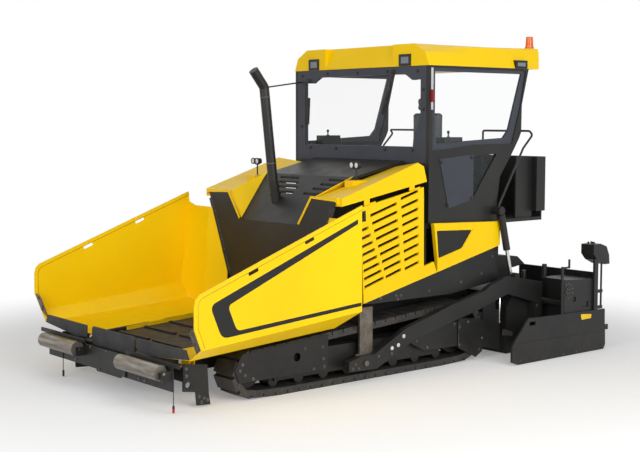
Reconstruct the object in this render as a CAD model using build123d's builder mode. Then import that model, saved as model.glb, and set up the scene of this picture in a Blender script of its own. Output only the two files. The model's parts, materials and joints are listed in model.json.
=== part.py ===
from build123d import *
from math import atan2, cos, degrees, hypot, pi, radians, sin, tan
import os

os.makedirs("parts", exist_ok=True)

# An asphalt paver on tracks. X points forward to the hopper, Y to the machine's left, Z up.
# The origin is on the ground under the middle of the machine. All sizes are in millimetres.

# Tracks: one loop a side. The radii are those of the shoes' outer faces.
track_outer_y = 1275
track_width = 325
idler_x, idler_radius, idler_rise = 1960, 238, 19
sprocket_x, sprocket_radius, sprocket_rise = -1020, 350, 12
idler_z, sprocket_z = idler_radius + idler_rise, sprocket_radius + sprocket_rise
road_roller_radius = 62
road_roller_front_x, road_roller_rear_x = 1640, -700
road_roller_count = 8
end_roller_relief = 3
shoe_count = 50
shoe_height = 36
chain_depth = 38
shoe_gap = 12
running_gap = 0.4

# Frame: two long side plates with the conveyor tunnel between them.
frame_outer_y = 700
frame_wall = 20
frame_front_x, frame_rear_x, floor_rear_x = 2785, -1740, -1390
auger_clear_z = 560
frame_bottom_z = 250
tunnel_roof_z = 1000
floor_front_z = 440
floor_slope = 0.06
floor_wall = 12
track_beam_inner_y, track_beam_outer_y = 1010, 1215
cross_tube_x = (-560, 1420)
cross_tube_depth, cross_tube_z, cross_tube_height = 200, 250, 150

# Front side plates, which carry the track scrapers, and the shields outside the augers
side_plate_y = 1210
shield_y, shield_sheet = 1262, 12

# Lashing eyes: place along and height of the hole, and the outer face of its plate
lashing_eyes = ((2680, 240, side_plate_y), (-1680, 640, frame_outer_y))
lashing_eye_radius = 30

# Hopper: its rear wall stands at hopper_wall_x, and each wing hinges beside the floor.
hopper_wall_x = 780
hopper_wall_thickness = 20
wing_hinge_y = 722
wing_hinge_radius = 16
hinge_pin_radius = 7
pin_gap = 0.3
wing_sheet = 8
wing_rise = 26
wing_outer_y = 1600
wing_chamfer_y = 1450

wing_knuckles = ((155, 200), (900, 200), (1650, 200))
frame_knuckles = ((0, 150), (360, 535), (1105, 540), (1855, 110))
wing_rear_x = 790
wing_chamfer_rear_y = 1380
cylinder_x = 2400
wing_lug_x = (2365, 2423)
wing_anchor_y, wing_anchor_z = 150, 290
wing_pin_y, wing_pin_z = 765, 310
cylinder_pin_radius = 14

# Roller beam
beam_pin_x, beam_rear_x, beam_pin_radius = 2850, 2862, 20
beam_bottom_z, beam_top_z, beam_wall = 205, 400, 18
roller_x, roller_z, roller_radius_outer = 2968, 390, 78
roller_inner_y, roller_outer_y = 430, 1180
beam_bar_x, beam_bar_top_z = 2880, 490

# Guide pointers on the beam: place across, height of the rod's upper end
pointers = ((1262, 450), (-918, 300))

hood_wall = 30
hood_half_width = 780
shoulder_outer_y = 1250
door_y = 1225
door_rear_x = -650
door_top_front, door_top_rear = (500, 1851), (-436, 2040)
door_hinge_rise, door_hinge_radius, door_pin_radius = 10, 8, 4
door_knuckle, door_hinge_gap = 80, 4
door_hinge_places = (60, 740)
auger_x, auger_z, auger_radius = -1590, 340, 170
flight_pitch, flight_sheet, flight_start_y = 350, 12, 160
flight_steps, flight_steps_per_turn = 36, 12
arm_eye_x, arm_eye_z = -1846, 937
lift_top_x, lift_top_z, lift_y = -1650, 1720, 1300
rod_gap = 0.4
lift_eye_x, lift_eye_z = -1846, 937

# Body sides
body_y = 1200
skin = 20
door_sheet = 25
door_gap = 5
cab_front_x = -570
body_rear_x = -1700
deck_z = 1600
deck_thickness = 40
locker_front_x, locker_rear_x, locker_top_z = -2420, -2575, 2338
rail_y, rail_radius = 1225, 13

# Cab
exhaust_radius = 56
cab_y = 1190
cab_wall = 50
roof_bottom_z, roof_height = 3390, 250
roof_top_z = roof_bottom_z + roof_height

# Tow arms and screed
arm_inner_y, arm_outer_y = 1330, 1400
tow_pin_x, tow_pin_z, tow_pin_radius = 555, 210, 30
screed_arm_gap = 55
screed_half_width = arm_inner_y - screed_arm_gap
screed_front_x, screed_rear_x = -1800, -2300
screed_hood_half = 1000
ground_gap = 4
extension_front_x, extension_rear_x = -2430, -2860
guide_tube_x, guide_tube_z, guide_tube_radius = -2362, (300, 600), 38
extension_outer_y = 1780
extension_inner_y = 560
# Side panel of each extension, and the openings in it as low x, low z, high x, high z
panel_outline = [(-2227, 500), (-2227, 905), (-2838, 870), (-2838, 500)]
panel_holes = ((-2442, 630, -2392, 690), (-2682, 545, -2561, 615))
end_plate_y = 1820
walkway_rear_x = -3046


def side_face(points, y):
    """Closed outline in the side view (x, z), standing at y; extruding it goes to the right."""
    with BuildSketch(Plane.XZ.offset(-y)) as face:
        with BuildLine():
            Polyline(*points, close=True)
        make_face()
    return face.sketch


def front_face(points, x):
    """Closed outline in the front view (y, z), standing at x; extruding it goes forward."""
    with BuildSketch(Plane.YZ.offset(x)) as face:
        with BuildLine():
            Polyline(*points, close=True)
        make_face()
    return face.sketch


def top_face(points, z):
    """Closed outline in the top view (x, y), lying at z; extruding it goes up."""
    with BuildSketch(Plane.XY.offset(z)) as face:
        with BuildLine():
            Polyline(*points, close=True)
        make_face()
    return face.sketch


def round_y(x, z, radius, y):
    """Circle in the side view, standing at y; extruding it goes to the right."""
    with BuildSketch(Plane.XZ.offset(-y)) as face:
        with Locations((x, z)):
            Circle(radius)
    return face.sketch


def span(low, high):
    """Box between two corners."""
    size = [b - a for a, b in zip(low, high)]
    centre = [(a + b) / 2 for a, b in zip(low, high)]
    with Locations(tuple(centre)):
        Box(*size)


def span_cut(low, high):
    """Cuts a box between two corners."""
    with Locations(tuple((a + b) / 2 for a, b in zip(low, high))):
        Box(*[b - a for a, b in zip(low, high)], mode=Mode.SUBTRACT)


def inner_line(points, width):
    """Open outline moved to its right-hand side, with mitred corners."""
    normals = []
    for (x0, z0), (x1, z1) in zip(points, points[1:]):
        length = hypot(x1 - x0, z1 - z0)
        normals.append(((z1 - z0) / length, (x0 - x1) / length))
    moved = []
    for number, (x, z) in enumerate(points):
        a, b = normals[max(number - 1, 0)], normals[min(number, len(normals) - 1)]
        mitre = width / (1 + a[0] * b[0] + a[1] * b[1])
        moved.append((x + (a[0] + b[0]) * mitre, z + (a[1] + b[1]) * mitre))
    return moved


def sheet(corners, thickness, toward):
    """Flat plate with these corners on one face, thickened to the side that toward points to."""
    a, b, c = (Vector(*corner) for corner in corners[:3])
    normal = (b - a).cross(c - a)
    if normal.dot(Vector(*toward)) < 0:
        normal = normal * -1
    plane = Plane(origin=a, x_dir=b - a, z_dir=normal)
    flat = [plane.to_local_coords(Vector(*corner)) for corner in corners]
    with BuildSketch(plane) as face:
        with BuildLine():
            Polyline(*[(point.X, point.Y) for point in flat], close=True)
        make_face()
    extrude(face.sketch, amount=thickness)


def tube(start, end, radius, mode=Mode.ADD):
    """Round bar between two points, or a bore."""
    a, b = Vector(*start), Vector(*end)
    with BuildSketch(Plane(origin=a, z_dir=b - a)) as face:
        Circle(radius)
    extrude(face.sketch, amount=(b - a).length, mode=mode)


def lean_x(p, q, r):
    """Gives x on the plane through three points, for a place (y, z) in the front view."""
    normal = (Vector(*q) - Vector(*p)).cross(Vector(*r) - Vector(*p))
    return lambda y, z: p[0] - (normal.Y * (y - p[1]) + normal.Z * (z - p[2])) / normal.X


def keep(builder, name):
    """Names a finished piece and writes it."""
    builder.part.label = name
    export_step(builder.part, f"parts/{name}.step")


def keep_pair(builder, name):
    """Writes the left piece and its mirror image on the right."""
    keep(builder, f"{name}_left")
    with BuildPart() as other:
        mirror(builder.part, about=Plane.XZ)
    keep(other, f"{name}_right")


def floor_z(x):
    """Height of the conveyor floor, which rises to the rear."""
    return floor_front_z + floor_slope * (frame_front_x - x)


def wing_hinge_z(x):
    """Height of the wings' hinge line, parallel to the floor."""
    return floor_z(x) + wing_rise


# Depth from the shoes' outer faces to the wheels
inside = shoe_height + chain_depth + running_gap

# Track path: tangent lines and arcs round the idler, the end road rollers and the sprocket.
path_circles = (
    # x, z, radius
    (idler_x, idler_z, idler_radius),
    (sprocket_x, sprocket_z, sprocket_radius),
    (road_roller_rear_x, inside + road_roller_radius, inside + road_roller_radius),
    (road_roller_front_x, inside + road_roller_radius, inside + road_roller_radius),
)


def belt_segments(inset):
    """Lines and arcs of the loop, inset from the shoes' outer faces, as (kind, data, length)."""
    circles = [(x, z, r - inset) for x, z, r in path_circles]
    normals = []
    for (x0, z0, r0), (x1, z1, r1) in zip(circles, circles[1:] + circles[:1]):
        span_length = hypot(x1 - x0, z1 - z0)
        along = atan2(z1 - z0, x1 - x0)
        normals.append(along - pi / 2 + atan2(r0 - r1, (span_length**2 - (r0 - r1) ** 2) ** 0.5))
    segments = []
    for i, (x, z, r) in enumerate(circles):
        start, end = normals[i - 1], normals[i]
        turn = (end - start) % (2 * pi)
        segments.append(("arc", (x, z, r, start), r * turn))
        x1, z1, r1 = circles[(i + 1) % len(circles)]
        first = (x + r * cos(end), z + r * sin(end))
        last = (x1 + r1 * cos(end), z1 + r1 * sin(end))
        segments.append(("line", (first, end), hypot(last[0] - first[0], last[1] - first[1])))
    return segments


def belt_point(segments, distance):
    """Point and outward direction at a distance along the loop."""
    for kind, data, length in segments:
        if distance <= length:
            if kind == "arc":
                x, z, r, start = data
                angle = start + distance / r
                return (x + r * cos(angle), z + r * sin(angle)), angle
            (x, z), angle = data
            along = angle + pi / 2
            return (x + distance * cos(along), z + distance * sin(along)), angle
        distance -= length
    kind, data, length = segments[0]
    return (data[0] + data[2] * cos(data[3]), data[1] + data[2] * sin(data[3])), data[3]


def track_outlines():
    """Outer outline with a block for each shoe, and the inner outline along the chain."""
    segments = belt_segments(shoe_height)
    total = sum(length for _, _, length in segments)
    pitch = total / shoe_count
    outer, inner = [], []
    for number in range(shoe_count):
        (x, z), angle = belt_point(segments, (number + 0.5) * pitch)
        out, along = (cos(angle), sin(angle)), (-sin(angle), cos(angle))
        half = (pitch - shoe_gap) / 2
        for step, rise in ((-half, 0), (-half, shoe_height), (half, shoe_height), (half, 0)):
            outer.append((x + step * along[0] + rise * out[0], z + step * along[1] + rise * out[1]))
        inner.append((x - chain_depth * out[0], z - chain_depth * out[1]))
    return outer, inner


shoe_outline, chain_outline = track_outlines()
with BuildPart() as track:
    with BuildSketch(Plane.XZ.offset(-track_outer_y)):
        with BuildLine():
            Polyline(*shoe_outline, close=True)
        make_face()
        with BuildLine():
            Polyline(*chain_outline, close=True)
        make_face(mode=Mode.SUBTRACT)
    extrude(amount=track_width)
keep_pair(track, "track")

# Covers outside the track: outline in the side view, thickness
track_cover_y = track_outer_y + 6
track_covers = (
    ([(1000, 190), (980, 555), (2090, 478), (2185, 330), (2130, 190)], 8),
    ([(-953, 203), (-432, 209), (-217, 315), (-230, 340), (-500, 420), (-700, 480), (-953, 489)], 8),
    ([(-953, 489), (-969, 517), (-1311, 487), (-1399, 394), (-1352, 97), (-1249, 38), (-953, 181)], 22),
)
track_cover_posts = ((1100, 1180), (1900, 1980), (-500, -430), (-1010, -930))

# Track frame: a box beam with the road rollers, the idler on its fork and the sprocket.
roller_step = (road_roller_front_x - road_roller_rear_x) / (road_roller_count - 1)
with BuildPart() as track_frame:
    span((road_roller_rear_x, track_beam_inner_y, inside + road_roller_radius),
         (road_roller_front_x, track_beam_outer_y, 410))
    for number in range(road_roller_count):
        place_x = road_roller_rear_x + number * roller_step
        relief = end_roller_relief if number in (0, road_roller_count - 1) else 0
        extrude(round_y(place_x, inside + road_roller_radius, road_roller_radius - relief, track_beam_outer_y - 20),
                amount=track_beam_outer_y - track_beam_inner_y - 40)
    for fork_y in (track_beam_inner_y, track_beam_outer_y - 25):
        span((road_roller_front_x - 40, fork_y, idler_z - 50), (idler_x + 60, fork_y + 25, idler_z + 50))
        span((sprocket_x - 90, fork_y, sprocket_z - 120), (road_roller_rear_x + 40, fork_y + 25, 410))
    extrude(round_y(idler_x, idler_z, idler_radius - inside - 13, track_beam_outer_y - 30),
            amount=track_beam_outer_y - track_beam_inner_y - 60)
    extrude(round_y(idler_x, idler_z, 45, track_beam_outer_y + 10),
            amount=track_beam_outer_y - track_beam_inner_y + 20)
    extrude(round_y(sprocket_x, sprocket_z, sprocket_radius - inside - 13, track_beam_outer_y - 60),
            amount=track_beam_outer_y - track_beam_inner_y - 120)
    extrude(round_y(sprocket_x, sprocket_z, 130, track_beam_outer_y + 20),
            amount=track_beam_outer_y - track_beam_inner_y + 20)
    for outline, thickness in track_covers:
        extrude(side_face(outline, track_cover_y + thickness), amount=thickness)
    extrude(round_y(1400, 365, 45, track_cover_y + 10), amount=20, mode=Mode.SUBTRACT)
    for low, high in track_cover_posts:
        span((low, track_beam_outer_y - 10, 250), (high, track_cover_y + 2, 320))
keep_pair(track_frame, "track_frame")

# Main frame: two side plates, joined by the tunnel's roof and by a bar in front
tunnel_front_x = hopper_wall_x - hopper_wall_thickness
roof_plate, front_bar = 15, 40
with BuildPart() as main_frame:
    side_outline = [
        (floor_rear_x, frame_bottom_z + 100), (floor_rear_x, auger_clear_z), (frame_rear_x, auger_clear_z),
        (frame_rear_x, tunnel_roof_z), (tunnel_front_x, tunnel_roof_z), (tunnel_front_x, floor_z(hopper_wall_x)),
        (frame_front_x, floor_front_z), (frame_front_x, frame_bottom_z), (-900, frame_bottom_z),
    ]
    for plate_y in (frame_outer_y, -frame_outer_y + frame_wall):
        extrude(side_face(side_outline, plate_y), amount=frame_wall)
    span((frame_rear_x, -frame_outer_y, tunnel_roof_z - roof_plate), (tunnel_front_x, frame_outer_y, tunnel_roof_z))
    bar_x = frame_front_x - front_bar
    extrude(side_face([(bar_x, frame_bottom_z), (frame_front_x, frame_bottom_z),
                       (frame_front_x, floor_z(frame_front_x) - floor_wall), (bar_x, floor_z(bar_x) - floor_wall)],
                      frame_outer_y), amount=2 * frame_outer_y)
    with Locations((cylinder_x, 0, 340)):
        Box(110, 2 * frame_outer_y, 150, mode=Mode.SUBTRACT)
    rear_eye_x, rear_eye_z, _ = lashing_eyes[1]
    for eye_y in (frame_outer_y, -frame_outer_y + frame_wall):
        extrude(round_y(rear_eye_x, rear_eye_z, lashing_eye_radius, eye_y), amount=frame_wall, mode=Mode.SUBTRACT)
keep(main_frame, "main_frame")

# Brackets on the frame: tubes to the tracks, ribs to the body, hinges, the plates that carry the wing
# cylinders and the roller beam, the track scrapers in front and the auger shields behind
with BuildPart() as frame_brackets:
    for side in (-1, 1):
        for tube_x in cross_tube_x:
            low_y, high_y = sorted((side * frame_outer_y, side * track_beam_inner_y))
            span((tube_x - cross_tube_depth / 2, low_y, cross_tube_z),
                 (tube_x + cross_tube_depth / 2, high_y, cross_tube_z + cross_tube_height))
        for rib_x in (body_rear_x + 40, cab_front_x - 40, hopper_wall_x - 100):
            low_y, high_y = sorted((side * frame_outer_y, side * body_y))
            span((rib_x - 40, low_y, 900), (rib_x + 40, high_y, 980))
        low_y, high_y = sorted((side * frame_outer_y, side * (arm_inner_y - 40)))
        span((400, low_y, 720), (550, high_y, 790))
        # Wing hinges: knuckles between the wings' own, and the pin through them all
        hinge_y = side * wing_hinge_y
        low_y, high_y = sorted((hinge_y, side * frame_outer_y))
        for start, length in frame_knuckles:
            x = wing_rear_x + 30 + start
            end_x = x + length
            tube((x, hinge_y, wing_hinge_z(x)), (end_x, hinge_y, wing_hinge_z(end_x)), wing_hinge_radius)
            extrude(side_face([(x, wing_hinge_z(x)), (end_x, wing_hinge_z(end_x)),
                               (end_x, wing_hinge_z(end_x) - 60), (x, wing_hinge_z(x) - 60)], high_y),
                    amount=high_y - low_y)
        x, end_x = wing_rear_x + 30, wing_rear_x + 30 + sum(frame_knuckles[-1])
        tube((x, hinge_y, wing_hinge_z(x)), (end_x, hinge_y, wing_hinge_z(end_x)), hinge_pin_radius)
    # Cheeks under the floor, with the pins of the wing cylinders
    for cheek_x in (cylinder_x - 50, cylinder_x + 22):
        end_x = cheek_x + 28
        extrude(side_face([(cheek_x, frame_bottom_z), (end_x, frame_bottom_z), (end_x, floor_z(end_x) - floor_wall),
                           (cheek_x, floor_z(cheek_x) - floor_wall)], 195), amount=390)
    for side in (-1, 1):
        with Locations((cylinder_x, side * (wing_anchor_y + 38), wing_anchor_z)):
            Box(140, 30, 100, mode=Mode.SUBTRACT)
        tube((cylinder_x - 50, side * wing_anchor_y, wing_anchor_z),
             (cylinder_x + 50, side * wing_anchor_y, wing_anchor_z), cylinder_pin_radius)
    # Roller beam's pivot plates and pin
    for z, plate_x in ((beam_bottom_z - pin_gap - 15, frame_front_x - front_bar), (beam_top_z + pin_gap, frame_front_x)):
        span((plate_x, -70, z), (beam_pin_x + 22, 70, z + 15))
    span((frame_front_x - front_bar, -70, beam_bottom_z - 15), (frame_front_x, 70, frame_bottom_z))
    tube((beam_pin_x, 0, beam_bottom_z - 10), (beam_pin_x, 0, beam_top_z + 10), beam_pin_radius)
    # Scraper plates, auger shields and their cross bars
    front_eye_x, front_eye_z, _ = lashing_eyes[0]
    for plate_y in (side_plate_y, -side_plate_y + frame_wall):
        extrude(side_face([(2455, 414), (2734, 450), (2737, 182), (2590, 158), (2579, 25), (2421, 15), (2440, 125)],
                          plate_y), amount=frame_wall)
    for shield in (shield_y, -shield_y + shield_sheet):
        extrude(side_face([(-1404, 618), (-1620, 672), (-1620, 560), (-1700, 545), (-1700, 61), (-1385, 138)], shield),
                amount=shield_sheet)
    for side in (-1, 1):
        low_y, high_y = sorted((side * frame_outer_y, side * (side_plate_y - 5)))
        span((2700, low_y, 275), (2734, high_y, 405))
        low_y, high_y = sorted((side * frame_outer_y, side * (shield_y - 5)))
        span((-1480, low_y, 562), (-1420, high_y, 620))
    for eye_y in (side_plate_y, -side_plate_y + frame_wall):
        extrude(round_y(front_eye_x, front_eye_z, lashing_eye_radius, eye_y), amount=frame_wall, mode=Mode.SUBTRACT)
keep(frame_brackets, "frame_brackets")

# Conveyor: its floor, the wall between its two lanes, and the flight bars that stand on the floor
lane_edge_y, slat_step = frame_outer_y - frame_wall, 330
with BuildPart() as conveyor:
    extrude(side_face([(floor_rear_x, floor_z(floor_rear_x)), (frame_front_x, floor_front_z),
                       (frame_front_x, floor_front_z - floor_wall),
                       (floor_rear_x, floor_z(floor_rear_x) - floor_wall)], lane_edge_y), amount=2 * lane_edge_y)
    extrude(side_face([(floor_rear_x, floor_z(floor_rear_x)), (floor_rear_x, tunnel_roof_z - roof_plate),
                       (700, tunnel_roof_z - roof_plate), (700, floor_z(700))], 15), amount=30)
    slat_x = frame_front_x - 120
    while slat_x > floor_rear_x + 60:
        for lane_y in (-350, 350):
            with Locations(Plane(origin=(slat_x, lane_y, floor_z(slat_x) + 9),
                                 x_dir=(1, 0, -floor_slope), z_dir=(floor_slope, 0, 1))):
                Box(40, 600, 20)
        slat_x -= slat_step
keep(conveyor, "conveyor")

# Hopper rear wall with its ears and the notch for the hood
with BuildPart() as hopper_wall:
    half_outline = [(750, 950), (1160, 1925), (770, 1940), (550, 1640)]
    outline = half_outline + [(-y, z) for y, z in reversed(half_outline)]
    extrude(front_face(outline, hopper_wall_x - hopper_wall_thickness), amount=hopper_wall_thickness)
keep(hopper_wall, "hopper_wall")


# Wing: floor, chamfer, outer wall and rear wall in bent sheet, with its hinge knuckles
wing_across_slope = 0.085
wing_floor_edge_y = wing_hinge_y + wing_hinge_radius + 9


def wing_floor_z(x, y):
    return wing_hinge_z(x) + wing_across_slope * (y - wing_hinge_y)


wing_front_x = 2806
wing_front_floor = (wing_front_x, wing_chamfer_y, wing_floor_z(wing_front_x, wing_chamfer_y))
wing_rear_floor = (970, wing_chamfer_rear_y, wing_floor_z(970, wing_chamfer_rear_y))
wing_front_fold = (2787, wing_outer_y, 641)
wing_rear_fold = (wing_rear_x, wing_outer_y, 812)
wing_top = [(wing_rear_x + 4, 1910), (2730, 1198), (2800, 1172), (2848, 1128), (2864, 1060), (2866, 847), (2787, 641)]
hem_width, hem_rise = 40, 3
# Handle slots in the outer wall: middle of each in the side view
wing_slots = ((1483, 1675), (2178, 1400))
wing_slot_length, wing_slot_height = 124, 36
rear_wall_x = lean_x((805, 1580, 1700), (900, 1560, 756), (832, 1130, 1430))
facet_x = lean_x((rear_wall_x(1130, 1750), 1130, 1750), (rear_wall_x(1090, 790), 1090, 790), (798, 760, 950))
with BuildPart() as wing:
    extrude(side_face(wing_top + [wing_rear_fold[::2]], wing_outer_y), amount=wing_sheet)
    extrude(side_face(wing_top + inner_line(wing_top, hem_width)[::-1], wing_outer_y + hem_rise),
            amount=wing_sheet + 2 * hem_rise)
    for x, z in wing_slots:
        rise = (wing_top[0][1] - wing_top[1][1]) / (wing_top[1][0] - wing_top[0][0]) * wing_slot_length / 2
        low, high = x - wing_slot_length / 2, x + wing_slot_length / 2
        extrude(side_face([(low, z + rise - wing_slot_height / 2), (low, z + rise + wing_slot_height / 2),
                           (high, z - rise + wing_slot_height / 2), (high, z - rise - wing_slot_height / 2)],
                          wing_outer_y), amount=wing_sheet, mode=Mode.SUBTRACT)
    sheet([wing_front_fold, wing_rear_fold, wing_rear_floor, wing_front_floor], wing_sheet, (0, -1, 1))
    floor_corners = [(wing_front_x, wing_floor_edge_y), (wing_front_x, wing_chamfer_y), (970, wing_chamfer_rear_y),
                     (912, 1300), (912, 1120), (wing_rear_x + 14, wing_floor_edge_y)]
    sheet([(x, y, wing_floor_z(x, y)) for x, y in floor_corners], wing_sheet, (0, 0, 1))
    wall_corners = [(1597, 1900), (1560, 1790), (1420, 1752), (1130, 1750), (1090, 790),
                    (1120, wing_floor_z(912, 1120)), (1300, wing_floor_z(912, 1300)), (1451, 690), (1597, 806)]
    sheet([(rear_wall_x(y, z), y, z) for y, z in wall_corners], wing_sheet, (1, 0, 0))
    facet_corners = [(1136, 1748), (1090, 1752), (772, 1000), (wing_floor_edge_y, wing_floor_z(804, 747)),
                     (1120, wing_floor_z(912, 1120)), (1096, 790)]
    sheet([(facet_x(y, z), y, z) for y, z in facet_corners], wing_sheet, (1, 0, 0))
    for start, length in wing_knuckles:
        x = wing_rear_x + 30 + start
        end_x = x + length
        tube((x, wing_hinge_y, wing_hinge_z(x)), (end_x, wing_hinge_y, wing_hinge_z(end_x)), wing_hinge_radius)
        sheet([(x, wing_hinge_y, wing_hinge_z(x)), (end_x, wing_hinge_y, wing_hinge_z(end_x)),
               (end_x, wing_floor_edge_y + 5, wing_floor_z(end_x, wing_floor_edge_y + 5)),
               (x, wing_floor_edge_y + 5, wing_floor_z(x, wing_floor_edge_y + 5))], wing_sheet, (0, 0, 1))
    for start, length in wing_knuckles:
        x, end_x = wing_rear_x + 25 + start, wing_rear_x + 35 + start + length
        tube((x, wing_hinge_y, wing_hinge_z(x)), (end_x, wing_hinge_y, wing_hinge_z(end_x)),
             hinge_pin_radius + pin_gap, Mode.SUBTRACT)
    for lug_x in wing_lug_x:
        extrude(front_face([(744, wing_hinge_z(lug_x) + 4), (900, wing_hinge_z(lug_x) + 16), (830, 262),
                            (716, 262), (716, 340)], lug_x), amount=12)
    for lug_x in wing_lug_x:
        with BuildSketch(Plane.YZ.offset(lug_x)) as hole:
            with Locations((wing_pin_y, wing_pin_z)):
                Circle(cylinder_pin_radius + 18)
        extrude(hole.sketch, amount=12, mode=Mode.SUBTRACT)
keep_pair(wing, "wing")

# Rubber apron under the front edge of each wing, and the fixed one in the middle
with BuildPart() as wing_apron:
    extrude(front_face([(505, 490), (wing_floor_edge_y, wing_floor_z(wing_front_x, wing_floor_edge_y) + 4),
                        (wing_chamfer_y - 20, 534), (1380, 622), (505, 616)], wing_front_x + 0.6), amount=14)
keep_pair(wing_apron, "wing_apron")
with BuildPart() as front_apron:
    extrude(front_face([(-430, 422), (430, 422), (430, 590), (400, 615), (-400, 615), (-430, 590)], frame_front_x),
            amount=14)
keep(front_apron, "front_apron")

# Wing cylinders: barrel on the frame, rod to the lug below the wing's floor
with BuildPart() as wing_barrel:
    tube((cylinder_x, wing_anchor_y + 32, wing_anchor_z + 1), (cylinder_x, 560, wing_anchor_z + 13), 38)
    tube((cylinder_x, 380, wing_anchor_z + 7.4), (cylinder_x, 561, wing_anchor_z + 13.3), 20 + rod_gap, Mode.SUBTRACT)
    with BuildSketch(Plane.YZ.offset(cylinder_x - 20)) as eye:
        with Locations((wing_anchor_y, wing_anchor_z)):
            Circle(34)
            Circle(cylinder_pin_radius + pin_gap, mode=Mode.SUBTRACT)
    extrude(eye.sketch, amount=40)
keep_pair(wing_barrel, "wing_barrel")
with BuildPart() as wing_rod:
    tube((cylinder_x, 410, wing_anchor_z + 8.4), (cylinder_x, wing_pin_y, wing_pin_z), 20)
    with BuildSketch(Plane.YZ.offset(cylinder_x - 18)) as eye:
        with Locations((wing_pin_y, wing_pin_z)):
            Circle(30)
    extrude(eye.sketch, amount=36)
    tube((wing_lug_x[0] + 1, wing_pin_y, wing_pin_z), (wing_lug_x[1] + 11, wing_pin_y, wing_pin_z),
         cylinder_pin_radius)
keep_pair(wing_rod, "wing_rod")

# Roller beam: swivels about a vertical pin at the frame's front
with BuildPart() as roller_beam:
    span((beam_rear_x, -1240, beam_bottom_z), (beam_rear_x + beam_wall, 1240, beam_top_z))
    for y in (-1235, -424, 404, 1215):
        span((beam_rear_x + beam_wall, y, roller_z - 70), (roller_x + 30, y + 20, roller_z + 20))
    for side in (-1, 1):
        for low, high, bottom in ((412, 700, 462), (700, 1387, 448)):
            low_y, high_y = sorted((side * low, side * high))
            span((beam_bar_x, low_y, bottom), (beam_bar_x + 20, high_y, beam_bar_top_z))
        low_y, high_y = sorted((side * 412, side * 1240))
        span((beam_rear_x + beam_wall - 2, low_y, beam_top_z - 10), (beam_bar_x + 8, high_y, beam_bar_top_z - 10))
    extrude(front_face([(-400, 438), (-400, 210), (-190, 210), (-170, 188), (300, 188), (330, 210), (400, 210),
                        (400, 438)], beam_rear_x + beam_wall - 0.2), amount=12)
    with BuildSketch(Plane.XZ.offset(-1300)) as axle:
        with Locations((roller_x, roller_z)):
            Circle(14.5)
    extrude(axle.sketch, amount=2600, mode=Mode.SUBTRACT)
    with BuildSketch(Plane.XY.offset(beam_bottom_z)) as lug:
        with Locations((beam_pin_x, 0)):
            Circle(42)
    extrude(lug.sketch, amount=beam_top_z - beam_bottom_z)
    with BuildSketch(Plane.XY.offset(beam_bottom_z)) as bore:
        with Locations((beam_pin_x, 0)):
            Circle(beam_pin_radius + pin_gap)
    extrude(bore.sketch, amount=beam_top_z - beam_bottom_z, mode=Mode.SUBTRACT)
    for pointer_y, top_z in pointers:
        tube((beam_bar_x + 3.5, pointer_y, 20), (beam_bar_x + 3.5, pointer_y, top_z), 4)
        tube((beam_bar_x + 3.5, pointer_y, 10), (beam_bar_x + 3.5, pointer_y, 75), 12)
keep(roller_beam, "roller_beam")
with BuildPart() as push_roller:
    tube((roller_x, roller_inner_y, roller_z), (roller_x, roller_outer_y, roller_z), roller_radius_outer)
    tube((roller_x, roller_inner_y - 26, roller_z), (roller_x, roller_outer_y + 55, roller_z), 14)
keep_pair(push_roller, "push_roller")
# Engine: one plain block behind the hopper wall
with BuildPart() as engine:
    span((-420, -430, tunnel_roof_z), (560, 430, 1560))
keep(engine, "engine_block")

# Louvres in the hood's front slope: place along, ends of the right slot, ends of the left slot
hood_slots = (
    (240, -460, -110, 420, 700),
    (297, -420, -50, 340, 640),
    (352, -370, 0, 270, 570),
    (414, -280, -10, 180, 480),
)

# Hood over the engine, between the shoulders
with BuildPart() as hood:
    outline = [(hopper_wall_x - hopper_wall_thickness, 1640), (200, 2150), (cab_front_x, 2320),
               (cab_front_x, 2300 - hood_wall), (210, 2150 - hood_wall),
               (hopper_wall_x - hopper_wall_thickness, 1640 - hood_wall)]
    extrude(side_face(outline, hood_half_width), amount=2 * hood_half_width)
    for x, *ends in hood_slots:
        z = 1640 + (hopper_wall_x - hopper_wall_thickness - x) * 0.91
        for low_y, high_y in (ends[:2], ends[2:]):
            span_cut((x - 14, low_y, z - 80), (x + 14, high_y, z + 80))
keep(hood, "hood")

def door_hinge_point(distance):
    """Point on the side door's hinge line, measured from its front end."""
    slope = atan2(door_top_rear[1] - door_top_front[1], door_top_rear[0] - door_top_front[0])
    return (door_top_front[0] + distance * cos(slope), door_y + door_sheet / 2,
            door_top_front[1] + door_hinge_rise + distance * sin(slope))


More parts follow.
